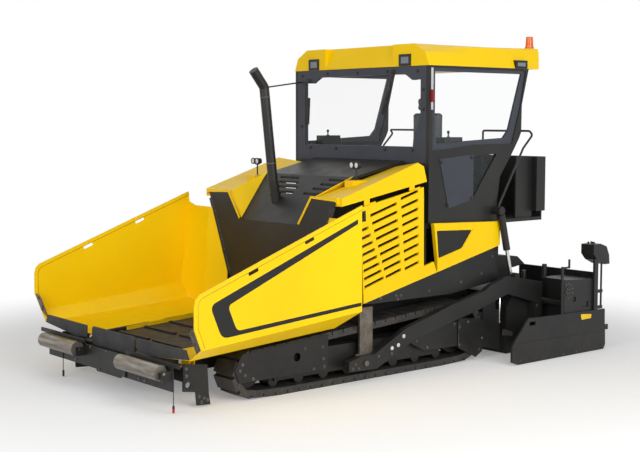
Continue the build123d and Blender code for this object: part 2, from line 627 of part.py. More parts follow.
# Shoulder covers beside the hood, each with the fixed half of its side door's hinges
wall_rear_x = hopper_wall_x - hopper_wall_thickness
shoulder_outer = [(wall_rear_x, 1875), (wall_rear_x, 1962), (-339, 2313), (-434, 2270), (-483, 2099)]
shoulder_inner = [(wall_rear_x, 1875), (wall_rear_x, 1940), (-445, 2252), (-560, 2240), (-549, 2095)]
trim_width, trim_depth = 26, 8
with BuildPart() as shoulder:
    for outline, y in ((shoulder_outer, shoulder_outer_y), (shoulder_inner, hood_half_width)):
        with BuildSketch(Plane.XZ.offset(-y)):
            with BuildLine():
                Polyline(*outline, close=True)
            make_face()
    loft(ruled=True)
    # Inner facet down to the hood, and the trim round the ear of the hopper wall
    sheet([(wall_rear_x - 5, hood_half_width + 4, 1948), (wall_rear_x - 5, 552, 1646), (198, hood_half_width + 4, 2158)],
          8, (0, -1, 1))
    trim = [(554, 1642), (770, 1940), (1160, 1925)]
    extrude(front_face(trim + inner_line(trim, -trim_width)[::-1], hopper_wall_x), amount=trim_depth)
    extrude(front_face([(770, 1940), (1160, 1925), (1200, 1900), (1200, 1968), (740, 1946)], wall_rear_x - 4),
            amount=hopper_wall_thickness + trim_depth + 4)
    extrude(side_face([(355, 2040), (355, 2122), (146, 2124), (146, 2080)], 960), amount=140)
    for place in door_hinge_places:
        x, y, z = door_hinge_point(place)
        end_x, _, end_z = door_hinge_point(place + door_knuckle)
        tube((x, y, z), (end_x, y, end_z), door_hinge_radius)
        tube((x, y, z), door_hinge_point(place + 2 * door_knuckle + door_hinge_gap), door_pin_radius)
        extrude(side_face([(x, z), (end_x, end_z), (end_x, end_z + 80), (x, z + 80)], y + 3), amount=6)
keep_pair(shoulder, "shoulder")

# Twin work lamps on the shoulders: middle of each pair
work_lamps = ((290, 900, 2290), (290, -900, 2290))
lamp_radius, lamp_pitch, lamp_depth = 34, 80, 50
with BuildPart() as work_lamp:
    for x, y, z in work_lamps:
        for shift in (-lamp_pitch / 2, lamp_pitch / 2):
            tube((x - lamp_depth, y + shift, z), (x, y + shift, z), lamp_radius)
        span((x - 40, y - lamp_pitch / 2, z - 45), (x - 30, y + lamp_pitch / 2, z - 20))
        tube((x - 35, y, 2123.5), (x - 35, y, z - 35), 9)

# Body frame: firewall, rear wall and deck carry the panels and the cab; the locker stands at the rear
with BuildPart() as platform:
    span((cab_front_x - 20, -cab_y + cab_wall, tunnel_roof_z), (cab_front_x, cab_y - cab_wall, 2300))
    span((locker_front_x, -cab_y + cab_wall, deck_z - deck_thickness), (cab_front_x - 20, cab_y - cab_wall, deck_z))
    span((body_rear_x - 20, -body_y, tunnel_roof_z), (body_rear_x, body_y, deck_z - deck_thickness))
    span((locker_rear_x, -cab_y, 1675), (locker_rear_x + 20, cab_y, locker_top_z))
    span((locker_rear_x, -cab_y + cab_wall, deck_z - deck_thickness), (locker_front_x, cab_y - cab_wall, deck_z))
    span((locker_rear_x, -cab_y + cab_wall, deck_z - 5), (locker_rear_x + 20, cab_y - cab_wall, 1680))
    for side in (-1, 1):
        low_y, high_y = sorted((side * (cab_y - 30), side * cab_y))
        span((locker_rear_x, low_y, 1675), (locker_front_x, high_y, locker_top_z))
        low_y, high_y = sorted((side * (cab_y - 110), side * (cab_y - 80)))
        span((locker_front_x - 2, low_y, deck_z - 5), (-2125, high_y, locker_top_z))
        low_y, high_y = sorted((side * (cab_y - 110), side * cab_y))
        span((locker_front_x - 10, low_y, 1675), (locker_front_x + 5, high_y, locker_top_z))
keep(platform, "platform")

# Hoops round the way up to the deck
with BuildPart() as handrails:
    for side in (-1, 1):
        with BuildLine() as path:
            FilletPolyline((-1692, side * rail_y, 1765), (-2119, side * rail_y, 2445), (-2282, side * rail_y, 2600),
                           (-2235, side * rail_y, 2650), (-2235, side * 467, 2650), (-2235, side * 467, deck_z), radius=25)
        with BuildSketch(Plane(origin=path.line @ 0, z_dir=path.line % 0)):
            RegularPolygon(rail_radius, 8)
        sweep(path=path.line, transition=Transition.RIGHT)
        low_y, high_y = sorted((side * cab_y, side * rail_y))
        span((-1700, low_y, 1757), (-1684, high_y, 1773))
keep(handrails, "handrails")

# Vent slots in the side doors, as columns of slanted rows: height of the first row at its front end,
# step, count, then (x, lean) of the column's front edge and of its rear edge at vent_datum_z
vent_datum_z, vent_slope, vent_height = 1100, 0.30, 33
vent_columns = (
    (1012, 87, 8, (450, 0.09), (166, 0.40)),
    (1096, 85, 9, (136, 0.336), (-103, 0.094)),
    (1163, 97, 9, (-157, 0.086), (-367, 0.0175)),
)

# Side skins
with BuildPart() as door:
    outline = [door_top_front, door_top_rear, (-446, 1155), (-600, 1195), (door_rear_x, 1070), (454, 818)]
    extrude(side_face(outline, door_y + door_sheet), amount=door_sheet)
    for place in door_hinge_places:
        start = place + door_knuckle + door_hinge_gap
        tube(door_hinge_point(start), door_hinge_point(start + door_knuckle), door_hinge_radius)
        x, y, z = door_hinge_point(start)
        end_x, _, end_z = door_hinge_point(start + door_knuckle)
        extrude(side_face([(x, z), (end_x, end_z), (end_x, end_z - 20), (x, z - 20)], y + 5), amount=10)
        tube(door_hinge_point(start - 1), door_hinge_point(start + door_knuckle + 1), door_pin_radius + pin_gap,
             Mode.SUBTRACT)
    for first_z, step, rows, (front_x, front_lean), (rear_x, rear_lean) in vent_columns:
        for row in range(rows):
            z = first_z + row * step
            x = front_x + front_lean * (z - vent_datum_z)
            end_x = (rear_x + rear_lean * (z + vent_slope * x - vent_datum_z)) / (1 + rear_lean * vent_slope)
            end_z = z + vent_slope * (x - end_x)
            extrude(side_face([(x, z - vent_height), (x, z), (end_x, end_z), (end_x, end_z - vent_height)],
                              door_y + door_sheet), amount=door_sheet, mode=Mode.SUBTRACT)
keep_pair(door, "side_door")
with BuildPart() as rear_panel:
    outline = [(door_rear_x - 10, 1210), (-600, 1626), (-1696, 1592), (-1700, 1312), (door_rear_x - 10, 1072)]
    extrude(side_face(outline, door_y + door_sheet), amount=door_y + door_sheet - body_y)
    extrude(side_face([(-645, 1545), (-1235, 1524), (-1057, 1310), (-676, 1221)], door_y + door_sheet),
            amount=8, mode=Mode.SUBTRACT)
keep_pair(rear_panel, "rear_panel")
with BuildPart() as skirt:
    outline = [(454, 812), (-1710, 1306), (-1710, 890), (-1420, 856), (-920, 800), (290, 800)]
    extrude(side_face(outline, body_y + 16), amount=16)
keep_pair(skirt, "skirt")

# Cab sides, with their windows cut
upper_window = [(-622, 3362), (-624, 2440), (-878, 2451), (-1297, 2496), (-1958, 2502), (-2108, 2964), (-2190, 3362)]
upper_glass = [(-672, 3325), (-672, 2515), (-1094, 2530), (-1158, 2541), (-1810, 2571), (-1898, 2661), (-2119, 3325)]
lower_window = [(-745, 2330), (-1690, 2385), (-1285, 1868), (-890, 1788)]
with BuildPart() as cab_side:
    outline = [(cab_front_x, 1628), (cab_front_x, roof_bottom_z), (-2240, roof_bottom_z), (-2125, 2964), (-2120, 2640),
               (-2080, 2560), (-1960, 2387), (-1750, 2117), (-1700, 1780), (-1700, 1600)]
    extrude(side_face(outline, cab_y), amount=cab_wall)
    for window in (upper_window, lower_window):
        extrude(side_face(window, cab_y), amount=cab_wall, mode=Mode.SUBTRACT)
    extrude(round_y(lift_top_x, lift_top_z, 45, lift_y - 25.3), amount=lift_y - 25.3 - cab_y)
keep_pair(cab_side, "cab_side")

# Grey frames in the upper windows, and the bolted plates over the front of the lower ones
with BuildPart() as window_frame:
    extrude(side_face(upper_window, cab_y - 12), amount=26)
    extrude(side_face(upper_glass, cab_y - 12), amount=26, mode=Mode.SUBTRACT)
    extrude(side_face([(-735, 2342), (-1290, 2386), (-1290, 1866), (-885, 1780)], cab_y + 6), amount=6)
keep_pair(window_frame, "window_frame")
with BuildPart() as windscreen:
    extrude(front_face([(-1140, 2300), (1140, 2300), (1140, roof_bottom_z), (-1140, roof_bottom_z)],
                       cab_front_x - cab_wall), amount=cab_wall)
    extrude(front_face([(-1000, 2480), (930, 2480), (940, 2570), (1050, 2800), (1050, 3240), (914, 3231), (797, 3300),
                        (-720, 3300), (-850, 3231), (-1000, 3235)], cab_front_x - cab_wall),
            amount=cab_wall, mode=Mode.SUBTRACT)
keep(windscreen, "windscreen_frame")

# Roof: cross sections as (x, (y, z) of the lower rim, the side's top edge and the crest)
roof_sections = (
    (-560, (1190, roof_bottom_z), (1130, roof_top_z - 100), (950, roof_top_z)),
    (-1500, (1190, roof_bottom_z), (1110, roof_top_z - 20), (950, roof_top_z)),
    (-2490, (1190, roof_bottom_z), (1110, roof_top_z), (950, roof_top_z)),
)
# Lamps in the roof: low and high corner of each housing on the left
roof_lamps = (
    ((-640, 715, roof_bottom_z + 1), (-548, 905, roof_bottom_z + 135)),
    ((-2199, 1100, roof_bottom_z + 1), (-1995, 1206, roof_bottom_z + 96)),
)
with BuildPart() as roof:
    for x, *half in roof_sections:
        with BuildSketch(Plane.YZ.offset(x)):
            with BuildLine():
                Polyline(*half, *[(-y, z) for y, z in reversed(half)], close=True)
            make_face()
    loft(ruled=True)
    extrude(side_face([(-550, roof_bottom_z + 15), (-562, roof_bottom_z + 15), (-650, roof_top_z + 10),
                       (-550, roof_top_z + 10)], 600), amount=1200, mode=Mode.SUBTRACT)
    extrude(side_face([(-2420, roof_bottom_z - 10), (-2520, roof_bottom_z - 10), (-2520, roof_top_z + 30)], 1300),
            amount=2600, mode=Mode.SUBTRACT)
    for side in (-1, 1):
        for (low_x, inner_y, low_z), (high_x, outer_y, high_z) in roof_lamps:
            low_y, high_y = sorted((side * inner_y, side * outer_y))
            span_cut((low_x, low_y, low_z), (high_x, high_y, high_z))
keep(roof, "roof")
with BuildPart() as lamps:
    add(work_lamp.part)
    for side in (-1, 1):
        for (low_x, inner_y, low_z), (high_x, outer_y, high_z) in roof_lamps:
            low_y, high_y = sorted((side * inner_y, side * outer_y))
            span((low_x, low_y, low_z), (high_x, high_y, high_z))
    for side in (-1, 1):
        low_y, high_y = sorted((side * 735, side * 885))
        span_cut((-556, low_y, roof_bottom_z + 20), (-540, high_y, roof_bottom_z + 115))
        low_y, high_y = sorted((side * 1198, side * 1220))
        span_cut((-2180, low_y, roof_bottom_z + 16), (-2014, high_y, roof_bottom_z + 80))
keep(lamps, "lamps")
with BuildPart() as beacon:
    with Locations((-2425, 1035, roof_top_z)):
        Cylinder(56, 22, align=(Align.CENTER, Align.CENTER, Align.MIN))
        Cone(50, 42, 145, align=(Align.CENTER, Align.CENTER, Align.MIN))
keep(beacon, "beacon")

# Exhaust, with its bracket on the hood and the brace to the cab's far corner
with BuildPart() as exhaust:
    with BuildLine() as path:
        FilletPolyline((505, -200, 1830), (560, -200, 2100), (680, -200, 3150), (830, -200, 3340), radius=80)
    with BuildSketch(Plane(origin=path.line @ 0, z_dir=path.line % 0)):
        Circle(exhaust_radius)
    sweep(path=path.line)
    split(bisect_by=Plane(origin=(200, 0, 2150 + 0.3), x_dir=(560, 0, -510), z_dir=(510, 0, 560)), keep=Keep.TOP)
    tube((655, -200, 3150), (cab_front_x + 5.5, -1080, 3250), 9)
    tube((532, -200, 1960), (524, -200, 1918), exhaust_radius + 8)
keep(exhaust, "exhaust")

# Seats and console on the platform
with BuildPart() as seat:
    span((-1220, 410, deck_z), (-940, 710, 2060))
    span((-1210, 330, 2060), (-700, 790, 2170))
    span((-1240, 330, 2100), (-1110, 790, 2880))
    span((-1205, 430, 2880), (-1100, 690, 3050))
    for arm_y in (320, 760):
        span((-1130, arm_y, 2330), (-800, arm_y + 40, 2380))
        span((-1130, arm_y, 2160), (-1090, arm_y + 40, 2340))
keep(seat, "seat")
with BuildPart() as console:
    span((-695, -420, deck_z), (cab_front_x - cab_wall - 1, 420, 2380))
    for side in (-1, 1):
        low_y, high_y = sorted((side * 1010, side * (cab_y - cab_wall)))
        span((-1160, low_y, 2460), (-870, high_y, 2585))
        span((-1060, low_y, deck_z), (-960, high_y, 2465))
keep(console, "console")

# Tow arms
with BuildPart() as tow_arm:
    outline = [(790, 140), (790, 250), (640, 283), (430, 290), (-40, 521), (-446, 626), (-769, 715), (-1274, 815),
               (-1393, 877), (-1676, 954), (-1826, 931), (-2299, 845), (-2299, 363), (-2180, 363), (-2155, 612),
               (-1680, 747), (-1191, 609), (-838, 533), (-545, 465), (-134, 364), (400, 130)]
    extrude(side_face(outline, arm_outer_y), amount=arm_outer_y - arm_inner_y)
    extrude(round_y(lift_eye_x, lift_eye_z, 45, arm_outer_y), amount=arm_outer_y - arm_inner_y)
    extrude(round_y(tow_pin_x, tow_pin_z, tow_pin_radius + 1, arm_outer_y), amount=arm_outer_y - arm_inner_y,
            mode=Mode.SUBTRACT)
keep_pair(tow_arm, "tow_arm")
with BuildPart() as tow_guides:
    for side in (-1, 1):
        low_y, high_y = sorted((side * (arm_inner_y - 40), side * (arm_inner_y - 15)))
        span((383, low_y, 121), (566, high_y, 790))
        span((383, low_y, 121), (tow_pin_x + 60, high_y, 300))
        low_y, high_y = sorted((side * (arm_inner_y - 20), side * (arm_outer_y + 20)))
        tube((tow_pin_x, low_y, tow_pin_z), (tow_pin_x, high_y, tow_pin_z), tow_pin_radius)
keep(tow_guides, "tow_guides")

# Screed
with BuildPart() as screed:
    outline = [(screed_front_x, ground_gap), (screed_front_x, 560), (-1900, 700), (-2250, 760),
               (screed_rear_x, 700), (screed_rear_x, ground_gap)]
    extrude(side_face(outline, screed_half_width), amount=2 * screed_half_width)
    span((-2290, -arm_inner_y, 363), (-2180, arm_inner_y, 700))
    for side in (-1, 1):
        for z in guide_tube_z:
            low_y, high_y = sorted((side * 1050, side * 1265))
            span((extension_front_x + 6, low_y, z - 60), (screed_rear_x + 5, high_y, z + 60))
    for z in guide_tube_z:
        extrude(round_y(guide_tube_x, z, guide_tube_radius + 1, 1300), amount=2600, mode=Mode.SUBTRACT)
    # Hooded box along the top, on its feet, and a spindle at each end
    extrude(side_face([(-1890, 985), (-1890, 1160), (-2300, 1115), (-2432, 1015), (-2230, 985)], screed_hood_half),
            amount=2 * screed_hood_half)
    for side in (-1, 1):
        for foot_y in (200, 900):
            low_y, high_y = sorted((side * foot_y, side * (foot_y + 60)))
            span((-2200, low_y, 690), (-1960, high_y, 990))
        tube((-2190, side * 1200, 690), (-2190, side * 1200, 969), 26)
keep(screed, "screed_body")
with BuildPart() as extension:
    span((extension_rear_x, extension_inner_y, ground_gap), (extension_front_x, extension_outer_y, 520))
    span((extension_rear_x, extension_outer_y - 500, 520), (extension_front_x, extension_outer_y, 875))
    span((walkway_rear_x, extension_inner_y, 430), (extension_rear_x, extension_outer_y - 60, 460))
    span((extension_front_x - 5, extension_outer_y - 40, 200), (screed_rear_x - 10, extension_outer_y, 760))
    span((extension_rear_x, extension_inner_y, 515), (extension_rear_x + 20, extension_outer_y, 945))
    extrude(side_face(panel_outline, extension_outer_y + 12), amount=14)
    for low_x, low_z, high_x, high_z in panel_holes:
        span_cut((low_x, extension_outer_y, low_z), (high_x, extension_outer_y + 20, high_z))
    tube((-2574, 1200, 515), (-2574, 1200, 1016), 30)
    for z in guide_tube_z:
        tube((guide_tube_x, extension_inner_y, z), (guide_tube_x, extension_outer_y, z), guide_tube_radius)
keep_pair(extension, "extension")
with BuildPart() as end_plate:
    outline = [(-1400, ground_gap), (-1296, 39), (-1293, 224), (-1577, 521), (-1764, 512), (-2735, 498), (-2978, 495),
               (-2990, 60), (-2960, ground_gap)]
    extrude(side_face(outline, end_plate_y), amount=end_plate_y - extension_outer_y - 12)
    extrude(side_face([(-1270, 247), (-1270, 700), (-3000, 700), (-3000, 229)], end_plate_y), amount=5,
            mode=Mode.SUBTRACT)
    span_cut((-1696, 1700, 430), (-1590, 1900, 475))
    span((walkway_rear_x, end_plate_y - 28, 235), (-2960, end_plate_y - 5, 298))
    # Height spindle with its crank
    tube((-2180, 1800, 500), (-2180, 1800, 1065), 17)
    tube((-2180, 1800, 1050), (-2310, 1800, 1050), 11)
    tube((-2303, 1800, 1040), (-2303, 1800, 1145), 13)
keep_pair(end_plate, "end_plate")

console_post_y = extension_outer_y + 12.2

# Operator's console at the end of each extension: head in the side view, on a post and a sliding rod
with BuildPart() as screed_console:
    extrude(side_face([(-2736, 1177), (-2736, 1290), (-2870, 1295), (-2985, 1255), (-3035, 1150), (-3046, 1040),
                       (-2950, 1040), (-2811, 1100)], end_plate_y), amount=190)
    span((-2832, console_post_y, 500), (-2762, end_plate_y - 2, 1120))
    tube((-2905, 1806, 505), (-2905, 1806, 1060), 12)
    for z in (505, 700):
        span((-2925, console_post_y + 1, z), (-2765, end_plate_y - 3, z + 38))
keep_pair(screed_console, "screed_console")

# Augers
with BuildPart() as auger:
    for step in range(flight_steps + 1):
        turn = 2 * pi * step / flight_steps_per_turn
        place = Plane(origin=(auger_x, flight_start_y + step * flight_pitch / flight_steps_per_turn, auger_z),
                      x_dir=(cos(turn), 0, sin(turn)), z_dir=(-sin(turn), 0, cos(turn)))
        with BuildSketch(place):
            with Locations(((auger_radius + 30) / 2, 0)):
                Rectangle(auger_radius - 30, flight_sheet)
    loft(ruled=True)
    tube((auger_x, 80.3, auger_z), (auger_x, 1240, auger_z), 40)
keep_pair(auger, "auger")
with BuildPart() as auger_gearbox:
    span((auger_x - 80, -80, auger_z - 90), (auger_x + 80, 80, tunnel_roof_z - 15))
keep(auger_gearbox, "auger_gearbox")

# Lift cylinders
with BuildPart() as lift_barrel:
    tube((lift_top_x, lift_y, lift_top_z), (lift_top_x - 24, lift_y, lift_top_z - 97), 24)
    tube((lift_top_x - 12, lift_y, lift_top_z - 49), (lift_top_x - 116, lift_y, lift_top_z - 464), 42)
    extrude(round_y(lift_top_x, lift_top_z, 50, lift_y + 25), amount=50)
    tube((lift_top_x - 18, lift_y, lift_top_z - 72), (lift_top_x - 117, lift_y, lift_top_z - 468), 22 + rod_gap,
         Mode.SUBTRACT)
keep_pair(lift_barrel, "lift_barrel")
with BuildPart() as lift_rod:
    tube((lift_top_x - 90, lift_y, lift_top_z - 359.5), (lift_eye_x, lift_y, lift_eye_z), 22)
    extrude(round_y(lift_eye_x, lift_eye_z, 38, arm_inner_y - 0.3), amount=50)
keep_pair(lift_rod, "lift_rod")
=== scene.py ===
import bmesh
import bpy
import json
import math
import numpy as np
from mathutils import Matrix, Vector


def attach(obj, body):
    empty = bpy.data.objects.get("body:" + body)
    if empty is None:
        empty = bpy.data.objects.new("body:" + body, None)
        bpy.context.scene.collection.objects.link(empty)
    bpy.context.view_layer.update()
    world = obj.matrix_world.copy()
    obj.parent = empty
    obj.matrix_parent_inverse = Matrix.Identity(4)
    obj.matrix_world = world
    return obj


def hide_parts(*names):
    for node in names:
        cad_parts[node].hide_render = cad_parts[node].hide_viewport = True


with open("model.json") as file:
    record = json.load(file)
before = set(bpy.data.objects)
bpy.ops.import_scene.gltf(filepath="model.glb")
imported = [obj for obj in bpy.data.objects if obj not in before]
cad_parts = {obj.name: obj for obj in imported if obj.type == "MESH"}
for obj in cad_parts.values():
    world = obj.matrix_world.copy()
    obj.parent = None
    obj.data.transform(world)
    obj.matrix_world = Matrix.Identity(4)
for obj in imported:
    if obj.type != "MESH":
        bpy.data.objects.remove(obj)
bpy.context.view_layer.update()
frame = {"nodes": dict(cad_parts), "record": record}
print("frame loaded:", len(frame["nodes"]), "nodes")

scene = bpy.context.scene
scene.view_settings.view_transform = "Standard"

# Camera as in the photograph: place in metres, yaw and pitch in radians
photoView = {
    "place": (9.13045, 10.93703, 2.78663),
    "yaw": -2.265215,
    "pitch": 0.0867449,
    "lens": 68.87,
    "sensor": 36,
}


def makeCamera(v):
    # Looks from its place along (cos pitch cos yaw, cos pitch sin yaw, -sin pitch)
    cam = bpy.data.objects.new("camera", bpy.data.cameras.new("camera"))
    scene.collection.objects.link(cam)
    ahead = Vector((math.cos(v["pitch"]) * math.cos(v["yaw"]),
                    math.cos(v["pitch"]) * math.sin(v["yaw"]), -math.sin(v["pitch"])))
    cam.location = v["place"]
    cam.rotation_mode = "QUATERNION"
    cam.rotation_quaternion = ahead.to_track_quat("-Z", "Y")
    cam.data.lens = v["lens"]
    cam.data.sensor_width = v["sensor"]
    cam.data.clip_end = 200
    scene.camera = cam


makeCamera(photoView)


# Materials. Every finish is a dictionary, and every one reads Object coordinates.
def newTree(name):
    # A material with its node tree and its shader
    mat = bpy.data.materials.new(name)
    mat.use_nodes = True
    tree = mat.node_tree
    return mat, tree, tree.nodes["Principled BSDF"]


def addNode(tree, kind, **settings):
    # A node of this kind with its settings
    node = tree.nodes.new(kind)
    for key, value in settings.items():
        setattr(node, key, value)
    return node


def objectCoords(tree, stretch=(1, 1, 1)):
    # The object's own x, y and z in metres, each times its stretch
    coords = addNode(tree, "ShaderNodeTexCoord")
    mapping = addNode(tree, "ShaderNodeMapping")
    mapping.inputs["Scale"].default_value = stretch
    tree.links.new(coords.outputs["Object"], mapping.inputs["Vector"])
    return mapping.outputs["Vector"]


def noise(tree, vector, scale, detail=3, rough=0.55):
    # Cloudy pattern between 0 and 1, with scale cells to the metre
    node = addNode(tree, "ShaderNodeTexNoise")
    node.inputs["Scale"].default_value = scale
    node.inputs["Detail"].default_value = detail
    node.inputs["Roughness"].default_value = rough
    tree.links.new(vector, node.inputs["Vector"])
    return node.outputs["Fac"]


def remap(tree, value, low, high, toLow, toHigh):
    # toLow + (value - low) / (high - low) * (toHigh - toLow), held between toLow and toHigh
    node = addNode(tree, "ShaderNodeMapRange")
    for socket, number in zip(("From Min", "From Max", "To Min", "To Max"), (low, high, toLow, toHigh)):
        node.inputs[socket].default_value = number
    tree.links.new(value, node.inputs["Value"])
    return node.outputs["Result"]


def combine(tree, kind, a, b):
    # Two values, each a number or a socket, put together as kind says
    node = addNode(tree, "ShaderNodeMath", operation=kind)
    for socket, item in zip(node.inputs, (a, b)):
        if isinstance(item, (int, float)):
            socket.default_value = item
        else:
            tree.links.new(item, socket)
    return node.outputs["Value"]


def mixColour(tree, factor, a, b):
    # a * (1 - factor) + b * factor, each colour a tuple or a socket
    node = addNode(tree, "ShaderNodeMix", data_type="RGBA")
    tree.links.new(factor, node.inputs["Factor"])
    for socket, item in ((node.inputs[6], a), (node.inputs[7], b)):
        if isinstance(item, tuple):
            socket.default_value = (*item, 1)
        else:
            tree.links.new(item, socket)
    return node.outputs[2]


def bumpFrom(tree, height, strength, distance):
    # Normal tilted by the slope of the height, which is distance metres at most
    node = addNode(tree, "ShaderNodeBump")
    node.inputs["Strength"].default_value = strength
    node.inputs["Distance"].default_value = distance
    tree.links.new(height, node.inputs["Height"])
    return node.outputs["Normal"]


def paint(name, s):
    # Enamel: slow drift between two shades, orange peel, dust that settles low on the machine
    mat, tree, shader = newTree(name)
    at = objectCoords(tree)
    drift = remap(tree, noise(tree, at, s["driftScale"], 4), 0.35, 0.65, 0, 1)
    colour = mixColour(tree, drift, s["shade"], s["colour"])
    height = addNode(tree, "ShaderNodeSeparateXYZ")
    tree.links.new(at, height.inputs["Vector"])
    low = remap(tree, height.outputs["Z"], 0.05, s["dustTop"], s["dust"], 0)
    specks = remap(tree, noise(tree, at, 9, 6, 0.7), 0.42, 0.62, 0, 1)
    colour = mixColour(tree, combine(tree, "MULTIPLY", low, specks), colour, s["dustColour"])
    tree.links.new(colour, shader.inputs["Base Color"])
    gloss = noise(tree, at, 5.5, 5, 0.6)
    tree.links.new(remap(tree, gloss, 0.3, 0.7, s["rough"] - 0.05, s["rough"] + 0.07),
                   shader.inputs["Roughness"])
    peel = noise(tree, at, s["peelScale"], 2)
    tree.links.new(bumpFrom(tree, peel, s["peel"], 0.002), shader.inputs["Normal"])
    shader.inputs["Specular IOR Level"].default_value = s["shine"]
    return mat


def castSteel(name, s):
    # Worn casting: pitted skin, brown bloom in patches, brighter where it rubs
    mat, tree, shader = newTree(name)
    at = objectCoords(tree)
    bloom = remap(tree, noise(tree, at, 7, 6, 0.65), 0.4, 0.68, 0, 1)
    colour = mixColour(tree, bloom, s["colour"], s["bloom"])
    rub = remap(tree, noise(tree, at, 38, 5, 0.7), 0.58, 0.72, 0, s["rub"])
    colour = mixColour(tree, rub, colour, s["bright"])
    tree.links.new(colour, shader.inputs["Base Color"])
    tree.links.new(remap(tree, bloom, 0, 1, s["rough"], s["rough"] + 0.2), shader.inputs["Roughness"])
    tree.links.new(bumpFrom(tree, noise(tree, at, 160, 4, 0.6), 0.35, 0.0015), shader.inputs["Normal"])
    shader.inputs["Metallic"].default_value = s["metal"]
    return mat


def drawnSteel(name, s):
    # Turned or ground steel: fine lines round the piece and smears along it
    mat, tree, shader = newTree(name)
    lines = noise(tree, objectCoords(tree, s["lines"]), 60, 3, 0.6)
    smear = noise(tree, objectCoords(tree, s["smear"]), 4, 5, 0.6)
    colour = mixColour(tree, remap(tree, smear, 0.38, 0.66, 0, 1), s["colour"], s["stain"])
    tree.links.new(colour, shader.inputs["Base Color"])
    tree.links.new(remap(tree, lines, 0.3, 0.7, s["rough"], s["rough"] + 0.18), shader.inputs["Roughness"])
    tree.links.new(bumpFrom(tree, lines, 0.25, 0.0008), shader.inputs["Normal"])
    shader.inputs["Metallic"].default_value = 1
    return mat


def rubberSkin(name, s):
    # Matt rubber or grained vinyl: fine pebble grain and a pale bloom
    mat, tree, shader = newTree(name)
    at = objectCoords(tree)
    cells = addNode(tree, "ShaderNodeTexVoronoi", feature="DISTANCE_TO_EDGE")
    cells.inputs["Scale"].default_value = s["grainScale"]
    tree.links.new(at, cells.inputs["Vector"])
    colour = mixColour(tree, remap(tree, noise(tree, at, 6, 5), 0.35, 0.7, 0, 1), s["colour"], s["bloom"])
    tree.links.new(colour, shader.inputs["Base Color"])
    tree.links.new(remap(tree, noise(tree, at, 11, 4), 0.3, 0.7, s["rough"] - 0.08, s["rough"] + 0.08),
                   shader.inputs["Roughness"])
    tree.links.new(bumpFrom(tree, remap(tree, cells.outputs["Distance"], 0, 0.12, 0, 1), s["grain"], 0.001),
                   shader.inputs["Normal"])
    return mat


def clearPlastic(name, s):
    # Glass or lens: see-through as alpha says, with a faint drift of roughness, so no perfect mirror
    mat, tree, shader = newTree(name)
    at = objectCoords(tree)
    tree.links.new(remap(tree, noise(tree, at, 3, 4), 0.3, 0.7, s["rough"], s["rough"] + 0.05),
                   shader.inputs["Roughness"])
    tint = mixColour(tree, noise(tree, at, 2, 2), s["colour"], s["tint"])
    tree.links.new(tint, shader.inputs["Base Color"])
    shader.inputs["Alpha"].default_value = s["alpha"]
    shader.inputs["IOR"].default_value = 1.45
    shader.inputs["Specular IOR Level"].default_value = s.get("shine", 0.5)
    shader.inputs["Transmission Weight"].default_value = s.get("transmission", 0)
    return mat


def film(name, s):
    # Thin film or label: two near shades, a few scuffs, and a gloss that drifts
    mat, tree, shader = newTree(name)
    at = objectCoords(tree)
    colour = mixColour(tree, remap(tree, noise(tree, at, 2.4, 5), 0.35, 0.65, 0, 1), s["shade"], s["colour"])
    scuff = remap(tree, noise(tree, at, 34, 6, 0.7), 0.6, 0.78, 0, s["scuff"])
    tree.links.new(mixColour(tree, scuff, colour, s["scuffColour"]), shader.inputs["Base Color"])
    tree.links.new(remap(tree, noise(tree, at, 6, 4), 0.3, 0.7, s["rough"], s["rough"] + 0.12),
                   shader.inputs["Roughness"])
    tree.links.new(bumpFrom(tree, noise(tree, at, s["grainScale"], 2), s["grain"], 0.0008),
                   shader.inputs["Normal"])
    shader.inputs["Specular IOR Level"].default_value = s["shine"]
    return mat


